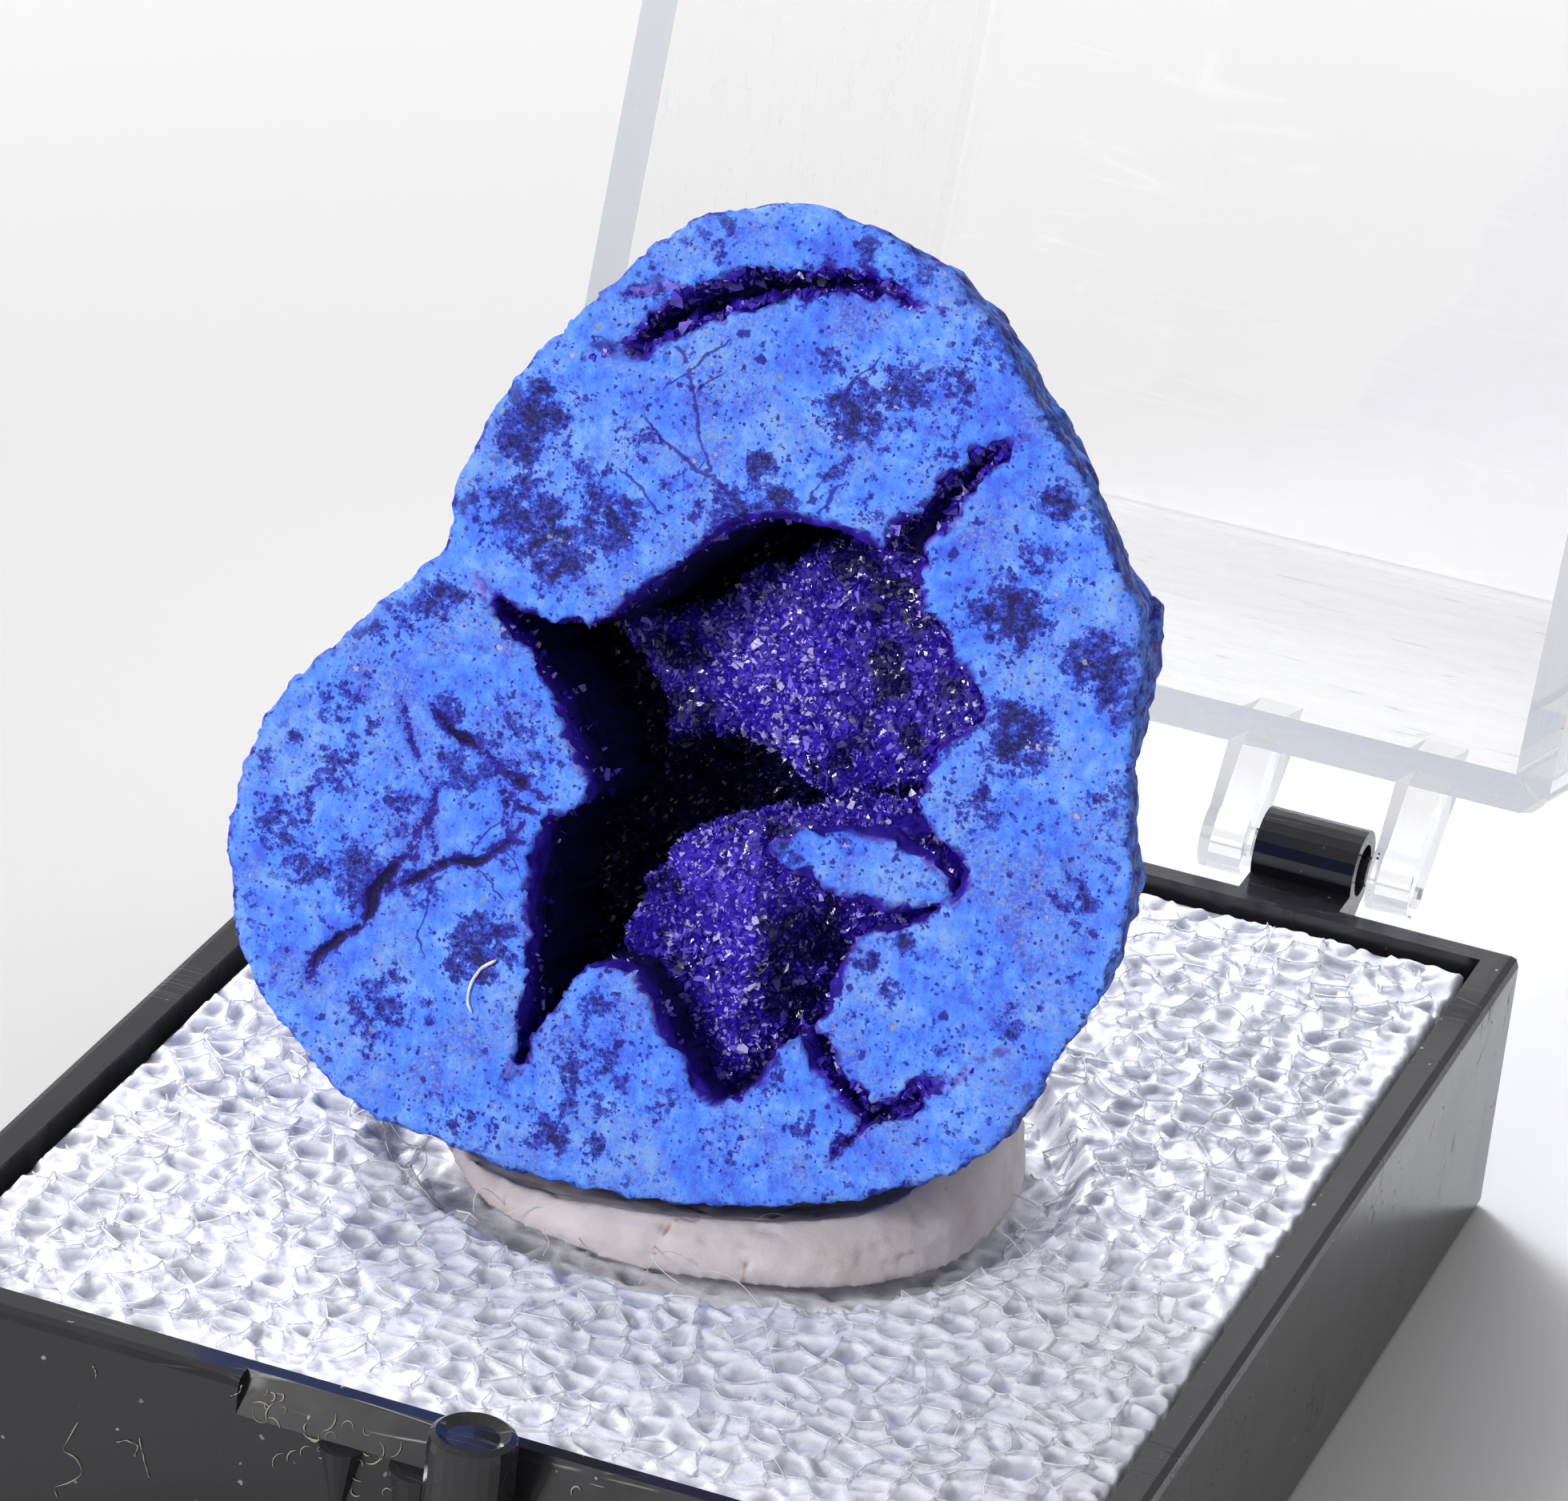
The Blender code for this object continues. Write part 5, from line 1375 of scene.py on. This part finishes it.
def foam_mesh(look):
    """The foam block: a fine grid for its top, straight sides and a flat underside."""
    low, high = box_mm("foam_block")
    counts = np.ceil((high - low)[:2] / (look.foam_step / MM)).astype(int) + 1
    x, y = np.meshgrid(*(np.linspace(low[k], high[k], counts[k]) for k in range(2)))
    places = np.stack((x.ravel(), y.ravel()), axis=1)
    centre, half = putty_foot()
    reach = 1.22 * half
    dent = ease(np.linalg.norm(places - centre, axis=1), reach, reach - 0.7)
    height, depth = foam_relief(places, look.foam_cell / MM, dent)
    level = high[2] - 0.33
    z = level - dent * (level - box_mm("mounting_putty")[0][2] + 0.65) + height
    edge = np.minimum(np.minimum(x - low[0], high[0] - x), np.minimum(y - low[1], high[1] - y))
    z = np.where(edge.ravel() < 0.02, np.minimum(z, level - 0.1), z)
    top = np.column_stack((places, z))

    number = np.arange(len(top)).reshape(counts[::-1])
    ring = np.concatenate((number[0], number[1:, -1], number[-1, -2::-1], number[-2:0:-1, 0]))
    skirt = top[ring].copy()
    skirt[:, 2] = low[2]
    foot = len(top) + np.arange(len(ring))
    sides = np.stack((np.roll(ring, -1), ring, foot, np.roll(foot, -1)), axis=1)
    faces = grid_quads(*counts[::-1]).tolist() + sides.tolist() + [foot[::-1].tolist()]
    mesh = new_mesh("foam_pad", np.vstack((top, skirt)), faces)
    # cell_depth sets the painted shade in the foam's cells
    keep(mesh, cell_depth=np.concatenate((depth, np.zeros(len(skirt)))))
    return mesh, top


def grid_quads(rows, columns):
    """The quads of a grid of points numbered row by row."""
    i, j = np.meshgrid(np.arange(columns - 1), np.arange(rows - 1))
    first = (j * columns + i).ravel()
    return np.stack((first, first + 1, first + columns + 1, first + columns), axis=1)


def cell_walls(low, high, cell):
    """Borders between jittered cells, as pairs of corner numbers, and the corners.

    The corners are the centres of the circles round the Delaunay triangles of the cells'
    centres, and each border joins the corners of two triangles that share an edge.
    """
    first = np.floor(low / cell).astype(int) - 1
    last = np.ceil(high / cell).astype(int) + 1
    x, y = np.meshgrid(np.arange(first[0], last[0]), np.arange(first[1], last[1]))
    grid = np.stack((x.ravel(), y.ravel()), axis=1).astype(float)
    jitter = np.stack([lattice(grid, FOAM_SEED + axis) for axis in range(2)], axis=1)
    centres = (grid + 0.1 + 0.8 * jitter) * cell
    found = delaunay_2d_cdt([Vector(c) for c in centres.tolist()], [], [], 0, 1e-6)
    triangles = np.array(found[2])
    a, b, c = (np.array(found[0])[triangles[:, k]] for k in range(3))
    ab, ac = b - a, c - a
    cross = 2.0 * (ab[:, 0] * ac[:, 1] - ab[:, 1] * ac[:, 0])
    ab2, ac2 = (ab ** 2).sum(axis=1), (ac ** 2).sum(axis=1)
    corners = a + np.stack((ac[:, 1] * ab2 - ab[:, 1] * ac2,
                            ab[:, 0] * ac2 - ac[:, 0] * ab2), axis=1) / cross[:, None]
    edges = np.sort(triangle_edges(triangles), axis=1)
    owner = np.tile(np.arange(len(triangles)), 3)
    order = np.lexsort((edges[:, 1], edges[:, 0]))
    edges, owner = edges[order], owner[order]
    shared = (edges[1:] == edges[:-1]).all(axis=1)
    return corners, np.stack((owner[:-1][shared], owner[1:][shared]), axis=1)


FILM_ROWS, FILM_COLUMNS = 3, 4
FILM_MARGIN = 0.3             # clear space between the films and the foam's sides
SHORTEST_FILM = 0.12
WHOLE_FILMS = 0.8             # share of the cells' borders that keep a film
RIM_RADIUS, STRUT_RADIUS = 0.024, 0.028


def along(values, pairs, u):
    """Values kept at corners, blended over each border from its first corner to its second."""
    ends = values.reshape(len(values), -1)[pairs]
    return ends[:, 0, None, None] * (1 - u) + ends[:, 1, None, None] * u


def film_meshes(look, top):
    """Cut walls of the foam's cells: thin films on the borders of cells, and their rims.

    Each corner of the cells has its own height and lean, so the films meet there. Between
    two corners a film bows by a parabola and its cut rim sags. The rims and the corners'
    struts are thin tubes.
    """
    rng = np.random.default_rng(SEED + 100)
    low, high = top[:, :2].min(axis=0), top[:, :2].max(axis=0)
    corners, pairs = cell_walls(low, high, look.foam_cell / MM)
    inside = ((corners > low + FILM_MARGIN) & (corners < high - FILM_MARGIN)).all(axis=1)
    span = np.linalg.norm(corners[pairs[:, 0]] - corners[pairs[:, 1]], axis=1)
    pairs = pairs[inside[pairs].all(axis=1) & (span > SHORTEST_FILM)]
    centre, reach = putty_foot()
    away = np.linalg.norm(corners - centre, axis=1)
    pairs = pairs[(away[pairs] > reach + 0.05).all(axis=1)]
    pairs = pairs[rng.random(len(pairs)) < WHOLE_FILMS]

    columns = int(np.ceil((high - low)[0] / (look.foam_step / MM))) + 1
    rows = len(top) // columns
    cell = np.round((corners - low) / (high - low) * (columns - 1, rows - 1)).astype(int)
    cell = np.clip(cell, 0, (columns - 1, rows - 1))
    foot = top[cell[:, 1] * columns + cell[:, 0], 2] - 0.12
    free = ease(away, reach + 0.1, reach + 1.6)
    rise = look.film_rise / MM * rng.lognormal(0.0, 0.4, len(corners)) * (0.7 + 0.3 * free)
    rise = np.minimum(rise, 0.4) + 0.14
    lean = rng.normal(0.0, 0.1, (len(corners), 2))

    u = np.linspace(0.0, 1.0, FILM_COLUMNS)[None, None, :, None]
    v = np.linspace(0.0, 1.0, FILM_ROWS)[None, :, None, None]
    start, end = (corners[pairs[:, k]] for k in range(2))
    across = unit(end - start)[:, ::-1] * (-1.0, 1.0)
    bow = rng.normal(0.0, 0.08, len(pairs))[:, None, None, None]
    flat = (along(corners, pairs, u) + along(lean, pairs, u) * v ** 1.5
            + 4 * bow * u * (1 - u) * v * across[:, None, None])
    sag = 1.0 - 4.0 * u * (1 - u) * rng.uniform(-0.1, 0.45, (len(pairs), 1, 1, 1))
    height = along(foot, pairs, u) + along(rise, pairs, u) * v * sag
    points = np.concatenate((flat, height), axis=-1)
    faces = grid_quads(FILM_ROWS, FILM_COLUMNS)[None] + (
        FILM_ROWS * FILM_COLUMNS * np.arange(len(pairs))[:, None, None])
    films = new_mesh("foam_films", points.reshape(-1, 3), faces.reshape(-1, 4))

    rims = points[:, -1]
    thick = np.full(rims.shape[:2], RIM_RADIUS) * rng.uniform(0.5, 1.5, (len(pairs), 1))
    used = np.unique(pairs)
    tops = np.column_stack((corners[used] + lean[used], foot[used] + rise[used]))
    feet = np.column_stack((corners[used], foot[used]))
    share = np.linspace(0.0, 1.0, FILM_COLUMNS)[None, :, None]
    struts = feet[:, None] * (1 - share) + tops[:, None] * share
    slim = STRUT_RADIUS * (1.0 - 0.6 * share[..., 0]) * rng.uniform(0.6, 1.4, (len(used), 1))
    verts, tubed = tubes(np.concatenate((rims, struts)), np.concatenate((thick, slim)), 3)
    return films, new_mesh("foam_threads", verts, tubed)


def curled_paths(starts, headings, lengths, curls, rise, steps, rng):
    """Fibre paths that turn steadily, with a slow wave up and down."""
    t = np.linspace(0.0, 1.0, steps)[None]
    wander = rng.uniform(-1.0, 1.0, (len(starts), 1))
    heading = headings[:, None] + curls[:, None] * t + 0.6 * wander * np.sin(5.0 * t)
    pace = (lengths / (steps - 1))[:, None]
    x = starts[:, :1] + np.cumsum(np.cos(heading) * pace, axis=1)
    y = starts[:, 1:2] + np.cumsum(np.sin(heading) * pace, axis=1)
    lift = rise[:, None] * np.sin(math.pi * t * rng.uniform(0.6, 1.6, (len(starts), 1)))
    return np.stack((x, y, starts[:, 2:3] + lift), axis=-1)


def lint_mesh(top):
    """Stray fibres: curled ones on the foam, and one white arc on the sawn face."""
    rng = np.random.default_rng(SEED + 120)
    count, steps = FOAM_LINT, LINT_STEPS
    low, high = top[:, :2].min(axis=0), top[:, :2].max(axis=0)
    flat = 0.5 * (low + high) + rng.uniform(-1.0, 1.0, (count, 2)) * 0.46 * (high - low)
    starts = np.column_stack((flat, np.full(count, np.median(top[:, 2]) + 0.1)))
    lengths = rng.uniform(0.6, 3.2, count)
    paths = curled_paths(starts, rng.uniform(0.0, 2.0 * math.pi, count), lengths,
                         rng.uniform(-2.5, 2.5, count), rng.uniform(0.05, 0.5, count), steps,
                         rng)
    arc = smooth_path(FACE_LINT, 4)
    arc = arc[np.linspace(0, len(arc) - 1, steps).astype(int)]
    arc = from_face(np.column_stack((arc, np.full(steps, 0.03))))
    radii = np.full((count + 1, steps), LINT_RADIUS)
    radii[:-1] *= rng.uniform(0.6, 1.4, (count, 1))
    radii[-1] = FACE_LINT_RADIUS
    radii[:, (0, -1)] *= 0.5
    return new_mesh("lint", *tubes(np.concatenate((paths, arc[None])), radii))


FOAM_LINT = 90                # fibres on the foam, and points along each of them
LINT_STEPS = 14
LINT_RADIUS, FACE_LINT_RADIUS = 0.012, 0.045
# Fibres stuck to the front wall, as x and height
WALL_FIBRES = (
    ((-8.98, 5.15), (-9.15, 4.71), (-9.29, 4.3), (-8.96, 4.19), (-8.79, 3.86), (-9.07, 3.51),
     (-9.43, 3.27), (-9.37, 3.03)),
    ((-7.99, 4.92), (-7.75, 5.04), (-7.46, 5.0), (-7.5, 4.7)),
    ((-7.42, 5.2), (-7.3, 4.8), (-7.2, 4.5), (-7.1, 4.25)),
    ((-8.7, 6.75), (-8.62, 6.6), (-8.6, 6.45)),
    ((-5.0, 7.35), (-5.05, 7.15), (-5.25, 7.0)),
)
# Foam dust that clings round the grip, as x, height and spread
WALL_CRUMBS = ((-3.7, 6.95, 0.5), (-3.1, 6.3, 0.35), (-2.2, 6.35, 0.4), (-1.2, 6.3, 0.5),
               (-2.1, 5.6, 0.5), (-0.9, 5.2, 0.4), (-4.4, 6.9, 0.3), (3.4, 6.5, 0.5))
CRUMBS_ROUND_A_SPOT = 7
WALL_FIBRE_STEPS = 24
FOAM_TO_FRONT = 1.2           # from the foam's front to just off the base's front wall
# Above the ledge the wall slopes back; no crumb stands above the top
LEDGE, LEDGE_RISE, LEDGE_BACK = 6.55, 0.95, 0.5
CRUMBS_TOP = 7.2


def wall_fibre_mesh():
    """Fibres and foam dust on the front of the base.

    A fibre is a tube along its own points. A crumb is a short curled tube, thickest in its
    middle, placed at random round one of a few spots.
    """
    rng = np.random.default_rng(SEED + 140)
    front = box_mm("foam_block")[0][1] - FOAM_TO_FRONT
    steps = WALL_FIBRE_STEPS
    paths, radii = [], []
    for path in WALL_FIBRES:
        curve = smooth_path(path, 12)
        at = np.linspace(0.0, len(curve) - 1.0, steps)
        across, up = (np.interp(at, np.arange(len(curve)), curve[:, k]) for k in range(2))
        off = front - 0.01 - 0.04 * np.abs(np.sin(np.linspace(0.0, 9.0, steps)))
        paths.append(np.column_stack((across, off, up)))
        radii.append(0.017 * (0.6 + 0.4 * np.sin(np.linspace(0.0, 20.0, steps))))
    for x, z, spread in WALL_CRUMBS:
        for _ in range(CRUMBS_ROUND_A_SPOT):
            turn = rng.uniform(0.0, 2.0 * math.pi)
            turn = turn + np.linspace(0.0, rng.uniform(1.0, 4.0), steps)
            pace = rng.uniform(0.005, 0.026)
            middle = np.array((x, z)) + rng.normal(0.0, spread * 0.8, 2)
            curl = np.cumsum(np.stack((np.cos(turn), np.sin(turn)), axis=1), axis=0)
            across, up = (middle + curl * pace).T
            up = np.minimum(up, CRUMBS_TOP)
            back = np.where(up > LEDGE, LEDGE_BACK * (up - LEDGE) / LEDGE_RISE, 0.0)
            paths.append(np.column_stack((across, front + back - 0.03, up)))
            swell = np.sin(np.linspace(0.2, math.pi - 0.2, steps))
            radii.append(rng.uniform(0.006, 0.024) * swell)
    return new_mesh("wall_fibres", *tubes(np.array(paths), np.array(radii)))


# ------------------------------------------------------------------ stage

CAMERA_TARGET = (-1.059, 3.558, 15.358)
CAMERA_AZIMUTH = math.radians(18.13)
CAMERA_ELEVATION = math.radians(25.28)
CAMERA_ROLL = math.radians(6.40)
CAMERA_DISTANCE = 177.42
CAMERA_LENS = 164.97
SENSOR_WIDTH = 36.0
CLIP_NEAR, CLIP_FAR = 0.005, 20.0     # in metres
# Lamps' places and sizes, and the spot that they face, in metres
WINDOW_LAMP = ((-0.55, 0.50, 0.52), 0.22)
FACE_LAMP = ((-0.36, -0.62, 0.38), 0.17)
LAMP_TARGET = Vector((0.0, 0.005, 0.012))
FLOOR_HALF = 3000.0


def add_camera():
    """Camera on a sphere round its target, rolled about its own axis."""
    back = np.array((math.sin(CAMERA_AZIMUTH) * math.cos(CAMERA_ELEVATION),
                     -math.cos(CAMERA_AZIMUTH) * math.cos(CAMERA_ELEVATION),
                     math.sin(CAMERA_ELEVATION)))
    right = unit(np.cross(-back, (0.0, 0.0, 1.0)))
    down = np.cross(-back, right)
    turned_right = math.cos(CAMERA_ROLL) * right - math.sin(CAMERA_ROLL) * down
    turned_down = math.sin(CAMERA_ROLL) * right + math.cos(CAMERA_ROLL) * down
    matrix = Matrix(np.stack((turned_right, -turned_down, back), axis=1).tolist()).to_4x4()
    matrix.translation = Vector((np.array(CAMERA_TARGET) + CAMERA_DISTANCE * back) * MM)
    data = bpy.data.cameras.new("camera")
    data.lens = CAMERA_LENS
    data.sensor_width = SENSOR_WIDTH
    data.clip_start = CLIP_NEAR
    data.clip_end = CLIP_FAR
    camera = bpy.data.objects.new("camera", data)
    camera.matrix_world = matrix
    bpy.context.scene.collection.objects.link(camera)
    bpy.context.scene.camera = camera


def add_lamp(name, place, size, power):
    """Square soft lamp at a place in metres, facing the specimen."""
    data = bpy.data.lights.new(name, "AREA")
    data.size = size
    data.energy = power
    lamp = bpy.data.objects.new(name, data)
    lamp.location = place
    lamp.rotation_mode = "QUATERNION"
    lamp.rotation_quaternion = (LAMP_TARGET - Vector(place)).to_track_quat("-Z", "Y")
    bpy.context.scene.collection.objects.link(lamp)


def add_sky(look):
    """Even light around, with a paler one for what is mirrored, and white for what is seen."""
    world = bpy.data.worlds.new("studio")
    bpy.context.scene.world = world
    world.use_nodes = True
    world.node_tree.nodes.clear()
    graph = Graph(world.node_tree)
    way = graph.add("SeparateXYZ", {0: graph.add("TexCoord").outputs["Generated"]})
    high = graph.step(way.outputs["Z"], -0.1, 0.7, 0.6, 1.0)
    back = graph.step(way.outputs["Y"], -0.7, 0.3, 0.8, 1.0)
    side = graph.step(way.outputs["X"], -0.1, 0.9, 1.0, 0.45)
    light = graph.add("Background", {"Color": (0.95, 0.97, 1.0),
                                     "Strength": graph.times(high, look.sky)})
    mirrored = graph.times(graph.times(graph.times(high, back), look.shine), side)
    shine = graph.add("Background", {"Color": (0.97, 0.98, 1.0), "Strength": mirrored})
    seen = graph.add("Background", {"Color": tone(250, 250, 252), "Strength": 1.0})
    path = graph.add("LightPath")
    glossy = graph.add("MixShader", {0: path.outputs["Is Glossy Ray"], 1: light.outputs[0],
                                     2: shine.outputs[0]})
    direct = graph.math("MAXIMUM", path.outputs["Is Camera Ray"],
                        path.outputs["Is Transmission Ray"])
    mixed = graph.add("MixShader", {0: direct, 1: glossy.outputs[0], 2: seen.outputs[0]})
    graph.add("OutputWorld", {"Surface": mixed.outputs[0]})


def add_floor(material):
    """Large flat floor under the box."""
    corners = FLOOR_HALF * np.array(((-1, -1, 0), (1, -1, 0), (1, 1, 0), (-1, 1, 0)))
    floor = bpy.data.objects.new("floor", new_mesh("floor", corners, ((0, 1, 2, 3),)))
    floor.data.materials.append(material)
    bpy.context.scene.collection.objects.link(floor)


# ------------------------------------------------------------------ operators

class AZURITE_OT_stage(bpy.types.Operator):
    """Floor, sky, lamps and camera"""
    bl_idname = "azurite.stage"
    bl_label = "Stage"

    def execute(self, context):
        look = context.scene.azurite_studio
        add_floor(floor_material(look))
        add_sky(look)
        add_lamp("window", *WINDOW_LAMP, look.key_power)
        add_lamp("face", *FACE_LAMP, look.face_power)
        add_camera()
        context.scene.view_settings.view_transform = "Standard"
        return {"FINISHED"}


class AZURITE_OT_stone(bpy.types.Operator):
    """The azurite nodule with its sawn face"""
    bl_idname = "azurite.stone"
    bl_label = "Stone"

    def execute(self, context):
        look = context.scene.azurite_stone
        place_piece("nodule_stone", stone_mesh(look), azurite_material(look),
                    node="azurite_nodule")
        return {"FINISHED"}


class AZURITE_OT_crystals(bpy.types.Operator):
    """The crystals in the hollow and in the cracks"""
    bl_idname = "azurite.crystals"
    bl_label = "Crystals"

    def execute(self, context):
        look = context.scene.azurite_stone
        material = crystal_material(look)
        place_piece("crystal_lining", lining_mesh(look), material, smooth=False,
                    node="crystal_crust")
        place_piece("vein_crystals", vein_crystal_mesh(look), material,
                    smooth=False)
        return {"FINISHED"}


class AZURITE_OT_putty(bpy.types.Operator):
    """The putty that holds the stone"""
    bl_idname = "azurite.putty"
    bl_label = "Putty"

    def execute(self, context):
        look = context.scene.azurite_packing
        place_piece("putty_lump", putty_mesh(look), putty_material(look),
                    node="mounting_putty")
        return {"FINISHED"}


class AZURITE_OT_foam(bpy.types.Operator):
    """The foam in the base, its torn films and stray lint"""
    bl_idname = "azurite.foam"
    bl_label = "Foam"

    def execute(self, context):
        look = context.scene.azurite_packing
        mesh, top = foam_mesh(look)
        place_piece("foam_pad", mesh, foam_material(look), node="foam_block")
        film, threads = film_meshes(look, top)
        films = place_piece("foam_films", film, film_material(look))
        shell = films.modifiers.new("Film thickness", "SOLIDIFY")
        shell.thickness = 0.014 * MM
        shell.offset = 0.0
        place_piece("foam_threads", threads, thread_material(look))
        place_piece("lint", lint_mesh(top), lint_material("lint", look.lint))
        place_piece("wall_fibres", wall_fibre_mesh(), lint_material("fibre", look.fibre))
        return {"FINISHED"}


class AZURITE_OT_box(bpy.types.Operator):
    """The plastics of the box's base and lid"""
    bl_idname = "azurite.box"
    bl_label = "Box"

    def execute(self, context):
        look = context.scene.azurite_plastic
        for node, material in (("box_base", black_material(look)),
                               ("box_lid", clear_material(look))):
            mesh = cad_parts[node].data
            mesh.materials.clear()
            mesh.materials.append(material)
        return {"FINISHED"}


STEPS = (AZURITE_OT_stage, AZURITE_OT_stone, AZURITE_OT_crystals, AZURITE_OT_putty,
         AZURITE_OT_foam, AZURITE_OT_box)


class AZURITE_PT_parts(bpy.types.Panel):
    """Lists the specimen's parts in the sidebar"""
    bl_idname = "AZURITE_PT_parts"
    bl_label = "Azurite specimen"
    bl_space_type = "VIEW_3D"
    bl_region_type = "UI"
    bl_category = "Azurite"

    def draw(self, context):
        for operator in STEPS:
            self.layout.operator(operator.bl_idname)


LOOKS = {"azurite_stone": StoneLook, "azurite_packing": PackingLook,
         "azurite_plastic": PlasticLook, "azurite_studio": StudioLook}


def register():
    """Registers the looks, the operators and the panel."""
    for name, look in LOOKS.items():
        bpy.utils.register_class(look)
        setattr(bpy.types.Scene, name, PointerProperty(type=look))
    for operator in (*STEPS, AZURITE_PT_parts):
        bpy.utils.register_class(operator)


def unregister():
    """Takes away what register adds."""
    for operator in (AZURITE_PT_parts, *reversed(STEPS)):
        bpy.utils.unregister_class(operator)
    for name, look in LOOKS.items():
        delattr(bpy.types.Scene, name)
        bpy.utils.unregister_class(look)


def main():
    """Makes the whole specimen."""
    register()
    for operator in STEPS:
        group, name = operator.bl_idname.split(".")
        getattr(getattr(bpy.ops, group), name)()


if __name__ == "__main__":
    main()
